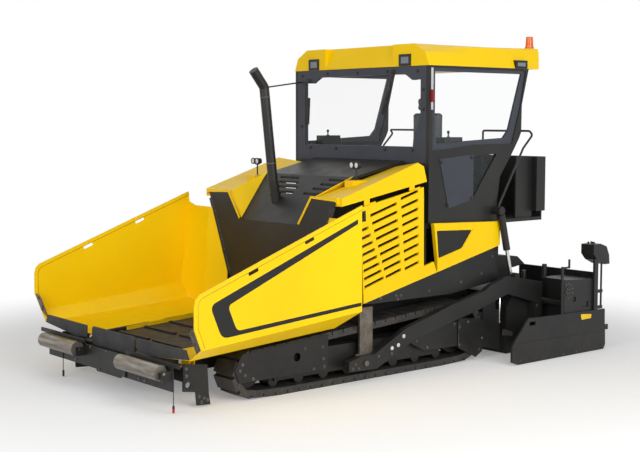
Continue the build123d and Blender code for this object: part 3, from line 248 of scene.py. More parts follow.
# What the films share: colour of their scuffs, gloss, and the fine grain below
filmWear = {"scuffColour": (0.10, 0.09, 0.08), "rough": 0.34, "shine": 0.3, "grainScale": 380, "grain": 0.06}
finishes = {
    "yellow_paint": paint("yellowPaint", {
        "colour": (1.0, 0.66, 0.001), "shade": (0.95, 0.60, 0.001), "driftScale": 0.8, "rough": 0.34,
        "peelScale": 420, "peel": 0.04, "dust": 0.25, "dustTop": 0.8, "dustColour": (0.42, 0.30, 0.06),
        "shine": 0.22}),
    "black_paint": paint("blackPaint", {
        "colour": (0.017, 0.0165, 0.0155), "shade": (0.010, 0.010, 0.010), "driftScale": 1.6, "rough": 0.42,
        "peelScale": 300, "peel": 0.09, "dust": 0.3, "dustTop": 0.6, "dustColour": (0.040, 0.036, 0.030),
        "shine": 0.32}),
    "grey_paint": paint("greyPaint", {
        "colour": (0.042, 0.046, 0.062), "shade": (0.030, 0.033, 0.046), "driftScale": 1.2, "rough": 0.4,
        "peelScale": 320, "peel": 0.07, "dust": 0.0, "dustTop": 0.7, "dustColour": (0.20, 0.17, 0.13),
        "shine": 0.35}),
    "track_steel": castSteel("trackSteel", {
        "colour": (0.042, 0.041, 0.040), "bloom": (0.070, 0.060, 0.050), "bright": (0.26, 0.24, 0.22),
        "rub": 0.5, "rough": 0.48, "metal": 0.6}),
    "floorSteel": castSteel("floorSteel", {
        "colour": (0.010, 0.0098, 0.0095), "bloom": (0.018, 0.016, 0.014), "bright": (0.06, 0.055, 0.05),
        "rub": 0.4, "rough": 0.55, "metal": 0.3}),
    "engine_grey": castSteel("engineGrey", {
        "colour": (0.09, 0.09, 0.092), "bloom": (0.06, 0.058, 0.055), "bright": (0.2, 0.2, 0.2),
        "rub": 0.3, "rough": 0.55, "metal": 0.2}),
    "wornSteel": castSteel("wornSteel", {
        "colour": (0.17, 0.155, 0.135), "bloom": (0.10, 0.075, 0.05), "bright": (0.42, 0.40, 0.37),
        "rub": 0.6, "rough": 0.42, "metal": 0.7}),
    "zincBolt": castSteel("zincBolt", {
        "colour": (0.13, 0.125, 0.115), "bloom": (0.07, 0.06, 0.05), "bright": (0.34, 0.33, 0.31),
        "rub": 0.5, "rough": 0.36, "metal": 0.7}),
    "brightBolt": castSteel("brightBolt", {
        "colour": (0.72, 0.72, 0.70), "bloom": (0.55, 0.53, 0.50), "bright": (0.85, 0.85, 0.83),
        "rub": 0.3, "rough": 0.4, "metal": 0.3}),
    "blackBolt": castSteel("blackBolt", {
        "colour": (0.026, 0.026, 0.026), "bloom": (0.04, 0.037, 0.034), "bright": (0.14, 0.13, 0.12),
        "rub": 0.35, "rough": 0.4, "metal": 0.4}),
    "bare_steel": drawnSteel("rollerSteel", {
        "colour": (0.30, 0.28, 0.25), "stain": (0.15, 0.12, 0.09), "lines": (1, 14, 1), "smear": (5, 0.6, 5),
        "rough": 0.24}),
    "rod_chrome": drawnSteel("rodChrome", {
        "colour": (0.75, 0.75, 0.76), "stain": (0.62, 0.62, 0.63), "lines": (1, 1, 9), "smear": (1, 1, 1),
        "rough": 0.10}),
    "rubber": rubberSkin("rubber", {
        "colour": (0.016, 0.016, 0.016), "bloom": (0.035, 0.034, 0.033), "grainScale": 300, "grain": 0.15,
        "rough": 0.72}),
    "seat_vinyl": rubberSkin("seatVinyl", {
        "colour": (0.045, 0.052, 0.052), "bloom": (0.062, 0.072, 0.070), "grainScale": 240, "grain": 0.3,
        "rough": 0.5}),
    "amber": clearPlastic("amberLens", {
        "colour": (0.95, 0.20, 0.01), "tint": (0.85, 0.14, 0.01), "rough": 0.15, "alpha": 1.0,
        "transmission": 0.35}),
    "clearGlass": clearPlastic("clearGlass", {
        "colour": (0.52, 0.58, 0.62), "tint": (0.45, 0.52, 0.56), "rough": 0.03, "alpha": 0.03,
        "shine": 0.12}),
    "roofLens": clearPlastic("roofLens", {
        "colour": (0.16, 0.19, 0.22), "tint": (0.24, 0.28, 0.31), "rough": 0.08, "alpha": 0.97}),
    "lampGlass": clearPlastic("lampGlass", {
        "colour": (0.80, 0.82, 0.84), "tint": (0.70, 0.72, 0.75), "rough": 0.10, "alpha": 0.96}),
    "stripeFilm": film("stripeFilm", {
        **filmWear, "colour": (0.011, 0.0108, 0.0105), "shade": (0.008, 0.008, 0.008), "scuff": 0.12}),
    # Painted shadow: a darkened yellow that stands for the shade below the hem's step
    "hemPaintedShadow": film("hemPaintedShadow", {
        **filmWear, "colour": (0.20, 0.13, 0.01), "shade": (0.16, 0.10, 0.008), "scuff": 0.1}),
    "reflectWhite": film("reflectWhite", {
        **filmWear, "colour": (0.82, 0.83, 0.84), "shade": (0.74, 0.75, 0.77), "scuff": 0.1}),
    "reflectRed": film("reflectRed", {
        **filmWear, "colour": (0.55, 0.012, 0.010), "shade": (0.45, 0.010, 0.010), "scuff": 0.1}),
    "signFilm": film("signFilm", {
        **filmWear, "colour": (0.92, 0.60, 0.02), "shade": (0.86, 0.52, 0.02), "scuff": 0.15}),
}
print("finishes made:", len(finishes))

# Nodes whose finish differs from that of their slot: dull guides, and a conveyor made near black
dressed = {"tow_guides": "wornSteel", "conveyor": "floorSteel"}
slotOf = {row["node"]: row["material_slot"] for row in frame["record"]["subparts"]}
for name, part in frame["nodes"].items():
    part.data.materials.clear()
    part.data.materials.append(finishes[dressed.get(name, slotOf[name])])
print("CAD nodes dressed")

# Record slot of each added finish. Glass, lenses, labels and reflectors have none
slotFor = {row["slot"]: row["slot"] for row in frame["record"]["materials"]}
slotFor.update({"wornSteel": "bare_steel", "zincBolt": "bare_steel", "brightBolt": "bare_steel",
                "blackBolt": "black_paint", "stripeFilm": "black_paint", "hemPaintedShadow": "black_paint"})


# Shapes. Each function gives a pair: an array of points, and a list of faces as point numbers.
def gridFaces(rows, columns, wrapRows=False, wrapColumns=False):
    # Face (i, j) joins points (i, j), (i, j+1), (i+1, j+1) and (i+1, j), counted round where a side wraps
    i, j = np.meshgrid(np.arange(rows - (not wrapRows)), np.arange(columns - (not wrapColumns)),
                       indexing="ij")
    nextI, nextJ = (i + 1) % rows, (j + 1) % columns
    corners = (i * columns + j, i * columns + nextJ, nextI * columns + nextJ, nextI * columns + j)
    return np.stack(corners, -1).reshape(-1, 4).tolist()


def joined(shapes):
    # Several shapes in one: each one's point numbers go up by the points before it
    points, faces, count = [], [], 0
    for p, f in shapes:
        points.append(np.reshape(p, (-1, 3)))
        faces += [[index + count for index in face] for face in f]
        count += len(points[-1])
    return np.concatenate(points), faces


def repeated(shape, places):
    # The same shape moved to each place
    return joined([(np.reshape(shape[0], (-1, 3)) + place, shape[1]) for place in np.atleast_2d(places)])


def bothSides(shape):
    # The shape and its mirror image across the machine
    return joined([shape, (np.reshape(shape[0], (-1, 3)) * (1, -1, 1), shape[1])])


def prism(outline, depth):
    # Closed outline carried straight along depth, with a face at each end
    outline = np.array(outline, float)
    n = len(outline)
    faces = gridFaces(2, n, wrapColumns=True) + [list(range(n)), list(range(n, 2 * n))]
    return np.concatenate([outline, outline + depth]), faces


def strip(first, second, depth):
    # Band between two lines of as many points, as thick as depth: four edge lines joined round, and its ends
    first, second = np.array(first, float), np.array(second, float)
    n = len(first)
    ends = [[row * n for row in range(4)], [row * n + n - 1 for row in range(4)]]
    rows = np.stack([first, second, second + depth, first + depth])
    return rows.reshape(-1, 3), gridFaces(4, n, wrapRows=True) + ends


def block(low, high):
    # Box between two corners
    (x0, y0, z0), (x1, y1, z1) = low, high
    return prism([(x0, y0, z0), (x1, y0, z0), (x1, y1, z0), (x0, y1, z0)], (0, 0, z1 - z0))


def lathe(profile, start, along, sides=24):
    # Profile of (distance, radius) turned about a line:
    # start + distance along it + radius times (cos, sin) across it
    along = np.array(along, float) / np.linalg.norm(along)
    across = np.cross(along, (0, 0, 1) if abs(along[2]) < 0.9 else (1, 0, 0))
    across /= np.linalg.norm(across)
    over = np.cross(along, across)
    distance, radius = np.array(profile, float).T
    turn = np.arange(sides) * 2 * np.pi / sides
    ring = np.cos(turn)[:, None] * across + np.sin(turn)[:, None] * over
    points = np.array(start) + distance[:, None, None] * along + radius[:, None, None] * ring
    last = (len(profile) - 1) * sides
    faces = gridFaces(len(profile), sides, wrapColumns=True)
    return points.reshape(-1, 3), faces + [list(range(sides)), list(range(last, last + sides))]


def pipe(path, radius, sides=10, across=(0, 1, 0)):
    # Circle carried along a path: each ring lies across the path's direction there
    path = np.array(path, float)
    along = np.gradient(path, axis=0)
    along /= np.linalg.norm(along, axis=1)[:, None]
    first = np.cross(along, across)
    first /= np.linalg.norm(first, axis=1)[:, None]
    second = np.cross(first, along)
    turn = np.arange(sides) * 2 * np.pi / sides
    ring = np.cos(turn)[None, :, None] * first[:, None] + np.sin(turn)[None, :, None] * second[:, None]
    points = path[:, None] + radius * ring
    last = (len(path) - 1) * sides
    faces = gridFaces(len(path), sides, wrapColumns=True)
    return points.reshape(-1, 3), faces + [list(range(sides)), list(range(last, last + sides))]


def smoothed(points, rounds=3):
    # Corner cutting: a quarter and three quarters of the way along every run, a few times over, ends kept
    points = np.array(points, float)
    for _ in range(rounds):
        a, b = points[:-1], points[1:]
        cut = np.stack([0.75 * a + 0.25 * b, 0.25 * a + 0.75 * b], 1).reshape(-1, points.shape[1])
        points = np.concatenate([points[:1], cut[1:-1], points[-1:]])
    return points


def roundedCorners(corners, reach, steps=6):
    # At each corner P a curve (1-t)^2 A + 2t(1-t) P + t^2 B, where A and B lie reach away from P
    corners = np.array(corners, float)
    toPrevious, toNext = np.roll(corners, 1, 0) - corners, np.roll(corners, -1, 0) - corners
    a = corners + reach * toPrevious / np.linalg.norm(toPrevious, axis=1)[:, None]
    b = corners + reach * toNext / np.linalg.norm(toNext, axis=1)[:, None]
    t = np.linspace(0, 1, steps)[None, :, None]
    curve = (1 - t) ** 2 * a[:, None] + 2 * t * (1 - t) * corners[:, None] + t**2 * b[:, None]
    return curve.reshape(-1, corners.shape[1])


def sideView(points, y):
    # Points (x, z) of the side view, standing at y
    points = np.array(points, float)
    return np.insert(points, 1, y, axis=1)


def frontView(points, x):
    # Points (y, z) of the front view, standing at x
    points = np.array(points, float)
    return np.insert(points, 0, x, axis=1)


# Washer and hexagon head of every bolt: (distance, radius) as shares of half the head's width, and sides
boltParts = ((((-0.3, 1.5), (0.25, 1.5), (0.3, 1.4)), 12), (((0.3, 1.0), (0.8, 1.0), (0.95, 0.8)), 6))


def hexBolts(places, along, size):
    # Profiles times size, which is half the head's width, turned about the bolt's axis at each place
    parts = [lathe(np.array(profile) * size, (0, 0, 0), along, sides) for profile, sides in boltParts]
    return repeated(joined(parts), places)


def bakedMesh(piece):
    # The piece's mesh with its modifiers worked in
    graph = bpy.context.evaluated_depsgraph_get()
    return bpy.data.meshes.new_from_object(piece.evaluated_get(graph), depsgraph=graph)


def makePiece(name, shape, finish, body="chassis", bevel=0.0, smooth=False):
    # Mesh of the shape with its faces turned outwards, dressed and set to ride on its body
    mesh = bpy.data.meshes.new(name)
    mesh.from_pydata(np.reshape(shape[0], (-1, 3)).tolist(), [], shape[1])
    form = bmesh.new()
    form.from_mesh(mesh)
    bmesh.ops.recalc_face_normals(form, faces=form.faces[:])
    form.to_mesh(mesh)
    form.free()
    mesh.materials.append(finishes[finish])
    piece = bpy.data.objects.new(name, mesh)
    scene.collection.objects.link(piece)
    if smooth:
        mesh.shade_smooth()
        mesh.set_sharp_from_angle(angle=math.radians(40))
    if bevel:
        edge = piece.modifiers.new("edge", "BEVEL")
        edge.width, edge.segments, edge.limit_method = bevel, 2, "ANGLE"
    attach(piece, body)
    return piece


def makePair(name, shape, finish, body, **settings):
    # The piece on the left, and its mirror image on the right body
    makePiece(f"{name}Left", shape, finish, f"{body}_left", **settings)
    other = (np.reshape(shape[0], (-1, 3)) * (1, -1, 1), shape[1])
    makePiece(f"{name}Right", other, finish, f"{body}_right", **settings)


def makeSideBolts(name, rows, size, finish, body="chassis"):
    # Bolts whose axes run across the machine, on both sides of it: each row has places (x, z) and their y
    places = np.concatenate([sideView(points, y) for points, y in rows])
    makePiece(name, bothSides(hexBolts(places, (0, 1, 0), size)), finish, body)


# Wings: the CAD wing less its two handle slots, with a painted shadow line where the hem ends
wingSheet = {
    "edge": ((0.794, 1.910), (2.730, 1.198), (2.800, 1.172), (2.848, 1.128), (2.864, 1.060), (2.866, 0.847),
             (2.787, 0.641)),
    "hem": 0.041, "line": 0.0045, "faces": ((1.6001, 0.0006), (1.5919, -0.0006)),
    "slots": ((1.487, 1.591), (2.180, 1.334)), "length": 0.126, "height": 0.036, "bend": 0.012,
    "cutFrom": 1.570, "cutDepth": 0.060}


def insetLine(points, width):
    # Open line moved sideways by width: at each corner, where the two runs have the normals a and b,
    # by (a + b) * width / (1 + a.b)
    points = np.array(points, float)
    along = np.diff(points, axis=0)
    along /= np.linalg.norm(along, axis=1)[:, None]
    normals = np.stack([along[:, 1], -along[:, 0]], -1)
    a, b = np.vstack([normals[:1], normals]), np.vstack([normals, normals[-1:]])
    return points + (a + b) * width / (1 + (a * b).sum(1))[:, None]


def makeCutter(node, sign, s):
    # A prism for each slot, which runs along the sloping edge
    first, second = np.array(s["edge"][:2])
    along = (second - first) / np.linalg.norm(second - first)
    across = np.array((along[1], -along[0]))
    slots = []
    for middle in s["slots"]:
        corners = [middle + way * along * s["length"] / 2 + rise * across * s["height"] / 2
                   for way, rise in ((-1, -1), (1, -1), (1, 1), (-1, 1))]
        slot = sideView(roundedCorners(corners, s["bend"], 4), s["cutFrom"]) * (1, sign, 1)
        slots.append(prism(slot, (0, sign * s["cutDepth"], 0)))
    return makePiece("slotCutter", joined(slots), "yellow_paint", node)


def cutWing(side, sign, s):
    # Boolean difference of a merged copy of the CAD mesh and its cutter
    node = f"wing_{side}"
    cutter = makeCutter(node, sign, s)
    form = bmesh.new()
    form.from_mesh(frame["nodes"][node].data)
    bmesh.ops.remove_doubles(form, verts=form.verts[:], dist=1e-6)
    mesh = bpy.data.meshes.new(f"slottedWing{side}")
    form.to_mesh(mesh)
    form.free()
    mesh.materials.append(finishes["yellow_paint"])
    wing = bpy.data.objects.new(mesh.name, mesh)
    scene.collection.objects.link(wing)
    cut = wing.modifiers.new("slots", "BOOLEAN")
    cut.operation, cut.solver, cut.object = "DIFFERENCE", "EXACT", cutter
    wing.data = bakedMesh(wing)
    wing.modifiers.clear()
    bpy.data.objects.remove(cutter)
    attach(wing, node)
    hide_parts(node)
    print("slotted wing", side, len(wing.data.polygons), "faces")


def makeWingSheet(s):
    # Both wings cut, and on each face of the wall a thin strip of painted shadow between the hem's edge and a
    # line beside it
    for side, sign in (("left", 1), ("right", -1)):
        cutWing(side, sign, s)
    upper, lower = insetLine(s["edge"], s["hem"]), insetLine(s["edge"], s["hem"] + s["line"])
    lines = [strip(sideView(upper, y), sideView(lower, y), (0, depth, 0)) for y, depth in s["faces"]]
    makePair("hemShadowLine", joined(lines), "hemPaintedShadow", "wing")


makeWingSheet(wingSheet)

# Wing trim: black stripe round the outer wall, open at the rear, and the steel wear plate inside the nose
wingStripe = {
    "outer": ((0.849, 1.769), (2.688, 1.056), (2.554, 0.729), (0.797, 0.871)),
    "inner": ((0.849, 1.722), (2.483, 1.036), (2.380, 0.786), (0.804, 0.908)),
    "outerBend": 0.075, "innerBend": 0.05, "wallY": 1.5998, "film": 0.0014}
wearPlate = {
    "outline": ((1.490, 0.572), (1.588, 0.650), (1.588, 0.836), (1.545, 0.842), (1.490, 0.800)),
    "footX": 2.790, "footZ": 0.641, "lean": 0.383, "thickness": 0.012, "bevel": 0.002,
    "bolts": ((1.535, 0.800), (1.515, 0.700), (1.555, 0.660)), "boltSize": 0.012}
# Gusset that closes the rear corner between the wing's facets
cornerGusset = {"corners": ((0.905, 1.449, 0.708), (0.992, 1.376, 0.629), (0.921, 1.322, 0.629)),
                "sheet": (-0.004, 0.003, -0.003)}


def bentLine(corners, bend):
    # Open line whose two inner corners are curved, and whose ends stay
    curve = roundedCorners(corners, bend).reshape(len(corners), -1, 2)
    return np.concatenate([[corners[0]], *curve[1:-1], [corners[-1]]])


def onNose(points, plate):
    # Points (y, z) on the nose, which leans forward: x = footX + lean * (z - footZ)
    return np.array([(plate["footX"] + plate["lean"] * (z - plate["footZ"]), y, z) for y, z in points])


def makeWingTrim(stripe, plate, gusset):
    # Stripe between its outer and inner line, wear plate with bolts, gusset
    outer = bentLine(stripe["outer"], stripe["outerBend"])
    inner = bentLine(stripe["inner"], stripe["innerBend"])
    band = strip(sideView(outer, stripe["wallY"]), sideView(inner, stripe["wallY"]), (0, stripe["film"], 0))
    makePair("wingStripe", band, "stripeFilm", "wing")
    sheet = prism(onNose(plate["outline"], plate), (-plate["thickness"], 0, 0))
    makePair("wearPlate", sheet, "wornSteel", "wing", bevel=plate["bevel"])
    bolts = hexBolts(onNose(plate["bolts"], plate), (1, 0, 0), plate["boltSize"])
    makePair("wearPlateBolt", bolts, "zincBolt", "wing")
    makePair("cornerGusset", prism(gusset["corners"], gusset["sheet"]), "yellow_paint", "wing")


makeWingTrim(wingStripe, wearPlate, cornerGusset)

# Hopper: yellow lips over the wing hinges, and the rubber seals bolted along the rear wall's slanted edges
hopperTrim = {
    "lip": {"y": 0.689, "front": 2.22, "rear": 0.80, "drop": 0.028, "rise": 0.017, "sheet": 0.005},
    "seal": {"top": (1.130, 1.862), "foot": (0.759, 0.975), "width": 0.048, "flap": 0.032, "wallX": 0.7802,
             "sheet": 0.004, "bevel": 0.002, "bolts": 8, "boltMargin": 0.06, "boltSize": 0.006},
    "hingeZ": (0.4661, 0.06, 2.785)}


def makeHopperTrim(t):
    # Height of the hinge line: its front height plus slope times the way back
    height, slope, front = t["hingeZ"]
    lip, seal = t["lip"], t["seal"]
    ends = [(x, height + slope * (front - x)) for x in (lip["front"], lip["rear"])]
    outline = [(x, lip["y"], z + shift) for shift, order in ((lip["rise"], ends), (-lip["drop"], ends[::-1]))
               for x, z in order]
    makePiece("hingeLip", bothSides(prism(outline, (0, lip["sheet"], 0))), "yellow_paint")
    top, foot = np.array(seal["top"]), np.array(seal["foot"])
    along = (foot - top) / np.linalg.norm(foot - top)
    across = np.array((along[1], -along[0]))
    inward, outward = across * seal["width"], -across * seal["flap"]
    band = frontView([top + outward, foot + outward, foot + inward, top + inward], seal["wallX"])
    makePiece("hopperSeal", bothSides(prism(band, (seal["sheet"], 0, 0))), "rubber", bevel=seal["bevel"])
    share = np.linspace(seal["boltMargin"], 1 - seal["boltMargin"], seal["bolts"])[:, None]
    places = frontView(top + share * (foot - top) + inward / 2, seal["wallX"] + seal["sheet"])
    makePiece("hopperSealBolt", bothSides(hexBolts(places, (1, 0, 0), seal["boltSize"])), "zincBolt")


makeHopperTrim(hopperTrim)

# Cab glass: each pane fills the opening that the CAD leaves, as (outline, place across it)
cabGlass = {
    "screen": ((-1.003, 2.477), (0.933, 2.477), (0.943, 2.570), (1.053, 2.800), (1.053, 3.243),
               (0.914, 3.234), (0.797, 3.303), (-0.720, 3.303), (-0.850, 3.234), (-1.003, 3.238)),
    "screenX": -0.598,
    "upper": ((-0.669, 3.328), (-0.669, 2.512), (-1.094, 2.527), (-1.158, 2.538), (-1.810, 2.568),
              (-1.901, 2.658), (-2.123, 3.328)),
    "upperY": 1.163,
    "lower": ((-0.742, 2.333), (-1.694, 2.389), (-1.287, 1.864), (-0.888, 1.784)),
    "lowerY": 1.158, "sheet": 0.005}


def makeCabGlass(g):
    # Flat panes: each outline carried by the thickness of the glass
    makePiece("screenGlass", prism(frontView(g["screen"], g["screenX"]), (g["sheet"], 0, 0)), "clearGlass")
    for name, outline, y in (("sideGlass", g["upper"], g["upperY"]), ("lowGlass", g["lower"], g["lowerY"])):
        makePiece(name, bothSides(prism(sideView(outline, y), (0, g["sheet"], 0))), "clearGlass")


makeCabGlass(cabGlass)

# Wipers, bolts and reflective strips on the cab's front
cabFront = {
    # name, pivot (y, z), blade's top and foot (y, z)
    "wipers": (("wiperLeft", (0.600, 3.332), (0.565, 3.180), (0.418, 2.862)),
               ("wiperRight", (-0.925, 3.262), (-0.935, 3.055), (-0.955, 2.745))),
    "screenX": -0.593, "frameX": -0.570, "armRadius": 0.007, "armReach": (0.050, 0.046, 0.034),
    "hub": ((-0.001, 0.026), (0.027, 0.026), (0.033, 0.018)),
    "bladeWidth": 0.022, "bladeDepth": 0.018, "bladeEnd": 0.02, "bladeGap": 0.001,
    "bolts": ((-1.050, 3.328), (-0.571, 3.343), (-0.022, 3.335), (0.500, 3.338), (1.000, 3.329),
              (-0.409, 2.440), (0.469, 2.440), (0.927, 2.440), (-0.900, 2.440), (1.095, 2.900),
              (1.095, 3.120), (-1.070, 2.700)),
    "boltSize": 0.014,
    # height from and to, finish
    "reflectors": ((3.120, 3.363, "reflectWhite"), (2.985, 3.115, "reflectRed"),
                   (2.896, 2.980, "reflectWhite")),
    "finX": -0.600, "finY": (1.190, 1.222), "finSheet": 0.003}


def wiper(c, pivot, top, foot):
    # Bent arm from the pivot to the blade's foot, turned hub, and a blade laid across the glass
    x = c["screenX"]
    start, middle, end = (x + reach for reach in c["armReach"])
    path = smoothed([(c["frameX"], *pivot), (start, *pivot), (middle, *top), (end, *foot)])
    hub = lathe(c["hub"], (c["frameX"], *pivot), (1, 0, 0), 16)
    top, foot = np.array(top), np.array(foot)
    slant = (top - foot) / np.linalg.norm(top - foot)
    side = np.array((slant[1], -slant[0])) * c["bladeWidth"] / 2
    tip = foot - slant * c["bladeEnd"]
    outline = frontView([top - side, top + side, tip + side, tip - side], x + c["bladeGap"])
    return joined([pipe(path, c["armRadius"], 8), hub, prism(outline, (c["bladeDepth"], 0, 0))])


def makeCabFront(c):
    # Wipers, bolts round the screen's frame, and the corner fins, each a block between two heights
    for name, pivot, top, foot in c["wipers"]:
        makePiece(name, wiper(c, pivot, top, foot), "rubber")
    bolts = hexBolts([(c["frameX"], y, z) for y, z in c["bolts"]], (1, 0, 0), c["boltSize"])
    makePiece("screenBolt", bolts, "blackBolt")
    for number, (low, high, finish) in enumerate(c["reflectors"]):
        fin = block((c["finX"], c["finY"][0], low), (c["finX"] + c["finSheet"], c["finY"][1], high))
        makePiece(f"reflector{number}", bothSides(fin), finish)


makeCabFront(cabFront)

# Lamps: glass and bezels on the twin work lamps, and lenses in the roof's housings
lampSet = {
    "pairX": 0.290, "pairY": 0.900, "pairZ": 2.290, "pitch": 0.080, "radius": 0.034, "sides": 28,
    # distance along the lamp, and share of its radius
    "glass": ((-0.004, 0.93), (0.001, 0.93), (0.006, 0.7), (0.009, 0.3), (0.0095, 0.05)),
    "rim": ((-0.010, 1.0), (-0.010, 1.10), (0.006, 1.10), (0.008, 1.04), (0.008, 0.93), (-0.002, 0.93)),
    "roofX": -0.5555, "roofY": (0.735, 0.885), "roofZ": (3.410, 3.505), "bezel": 0.010,
    "sideX": (-2.180, -2.014), "sideY": 1.1985, "sideZ": (3.406, 3.470), "lens": 0.004}


def frameRing(outline, width, depth):
    # Ring between an outline and the same outline drawn in towards its middle
    outline = np.array(outline, float)
    middle = outline.mean(0)
    reach = np.abs(outline - middle).max(0)
    inner = middle + (outline - middle) * np.divide(reach - width, reach, out=np.ones(3), where=reach > width)
    rows = np.stack([outline, inner, inner + depth, outline + depth])
    return rows.reshape(-1, 3), gridFaces(4, len(outline), True, True)


def makeLamps(s):
    # Work lamps: profiles of (distance, share times radius) turned. Roof lamps: lens inside a flat ring
    places = [(s["pairX"], side * s["pairY"] + shift * s["pitch"] / 2, s["pairZ"])
              for side in (1, -1) for shift in (1, -1)]
    glass, rim = (lathe(np.array(s[part]) * (1, s["radius"]), (0, 0, 0), (1, 0, 0), s["sides"])
                  for part in ("glass", "rim"))
    makePiece("workLampGlass", repeated(glass, places), "lampGlass", smooth=True)
    closed = rim[0], gridFaces(len(s["rim"]), s["sides"], True, True)
    makePiece("workLampRim", repeated(closed, places), "black_paint", smooth=True)
    x, (y0, y1), (z0, z1), b, depth = s["roofX"], s["roofY"], s["roofZ"], s["bezel"], s["lens"]
    front = [(x, y0, z0), (x, y1, z0), (x, y1, z1), (x, y0, z1)]
    lens = block((x, y0 + b, z0 + b), (x + depth, y1 - b, z1 - b))
    makePiece("roofLampLens", bothSides(lens), "roofLens")
    makePiece("roofLampBezel", bothSides(frameRing(front, b, (2 * depth, 0, 0))), "black_paint")
    (x0, x1), y, (z0, z1) = s["sideX"], s["sideY"], s["sideZ"]
    side = [(x0, y, z0), (x1, y, z0), (x1, y, z1), (x0, y, z1)]
    lens = block((x0 + b, y, z0 + b), (x1 - b, y + depth, z1 - b))
    makePiece("sideLampLens", bothSides(lens), "roofLens")
    makePiece("sideLampBezel", bothSides(frameRing(side, b, (0, 2 * depth, 0))), "black_paint")


makeLamps(lampSet)

# Body sides: blank black inset in the rear panel, latch on the side door, bolts
bodySide = {
    "inset": ((-0.652, 1.539), (-1.222, 1.518), (-1.053, 1.316), (-0.682, 1.229)), "insetY": 1.2421,
    "insetBend": 0.02, "film": 0.0015,
    "latch": ((0.425, 1.705), (0.492, 1.700), (0.500, 1.808), (0.432, 1.822)), "latchY": 1.2495,
    "latchBend": 0.012, "latchSheet": 0.004, "latchBevel": 0.0015,
    "latchBar": ((0.448, 1.735), (0.470, 1.733), (0.474, 1.790), (0.452, 1.794)), "barBend": 0.006,
    "barDepth": 0.012,
    "plateBolts": ((-0.767, 2.308), (-0.874, 1.818), (-1.262, 2.352), (-1.262, 1.880)), "plateY": 1.1958,
    "plateBoltSize": 0.016,
    "skirtBolts": ((-1.079, 0.920), (-0.055, 0.855), (-0.124, 0.849), (-0.078, 0.815), (-1.420, 0.990),
                   (-1.600, 1.180), (0.180, 0.850), (-0.560, 0.862)), "skirtY": 1.216, "skirtBoltSize": 0.012}


def makeBodySide(b):
    # Flat pieces: outlines with rounded corners, carried outwards by their thickness
    inset = prism(sideView(roundedCorners(b["inset"], b["insetBend"], 4), b["insetY"]), (0, b["film"], 0))
    makePiece("panelInset", bothSides(inset), "stripeFilm")
    y, sheet = b["latchY"], b["latchSheet"]
    latch = prism(sideView(roundedCorners(b["latch"], b["latchBend"], 4), y), (0, sheet, 0))
    bar = prism(sideView(roundedCorners(b["latchBar"], b["barBend"], 4), y + sheet), (0, b["barDepth"], 0))
    makePair("doorLatch", joined([latch, bar]), "black_paint", "side_door", bevel=b["latchBevel"])
    makeSideBolts("plateBolt", [(b["plateBolts"], b["plateY"])], b["plateBoltSize"], "blackBolt")
    makeSideBolts("skirtBolt", [(b["skirtBolts"], b["skirtY"])], b["skirtBoltSize"], "zincBolt")


makeBodySide(bodySide)

# Running gear: bolts on the tow arms, the track covers and the front plates, and a rib on the rear cover
gearTrim = {
    # (x, z) of bolts, by the face that they stand on
    "armBig": ((0.002, 0.438), (0.082, 0.349), (0.176, 0.327)),
    "armSmall": ((0.370, 0.260), (0.700, 0.215), (0.740, 0.172), (0.655, 0.165), (0.180, 0.268),
                 (-2.205, 0.560)),
    "armY": 1.400, "armBigSize": 0.015, "armSmallSize": 0.011,
    "coverBolts": ((2.060, 0.264), (2.090, 0.373), (1.300, 0.440), (1.060, 0.430), (1.050, 0.306),
                   (1.180, 0.215), (1.960, 0.215), (1.040, 0.220), (2.120, 0.315), (-0.300, 0.335),
                   (-0.470, 0.240), (-0.900, 0.460)),
    "coverY": 1.289,
    "rearCoverBolts": ((-1.113, 0.464), (-1.349, 0.250), (-1.300, 0.120), (-0.975, 0.420), (-0.975, 0.210)),
    "rearCoverY": 1.303,
    "scraperBolts": ((2.555, 0.110), (2.500, 0.084), (2.457, 0.062), (2.530, 0.050), (2.700, 0.400),
                     (2.700, 0.330)),
    "scraperY": 1.210, "coverBoltSize": 0.012,
    "ribX": (-0.961, -0.953), "ribZ": (0.205, 0.470), "ribDepth": 0.004}


def makeGearTrim(t):
    # Bolts on the arms, which ride on the screed, and on the faces of the frame; the rib is a block
    makeSideBolts("armBolt", [(t["armBig"], t["armY"])], t["armBigSize"], "brightBolt", "screed")
    makeSideBolts("armSmallBolt", [(t["armSmall"], t["armY"])], t["armSmallSize"], "zincBolt", "screed")
    rows = [(t[f"{face}Bolts"], t[f"{face}Y"]) for face in ("cover", "rearCover", "scraper")]
    makeSideBolts("coverBolt", rows, t["coverBoltSize"], "zincBolt")
    (x0, x1), (z0, z1), y = t["ribX"], t["ribZ"], t["rearCoverY"]
    makePiece("coverRib", bothSides(block((x0, y, z0), (x1, y + t["ribDepth"], z1))), "wornSteel")


makeGearTrim(gearTrim)

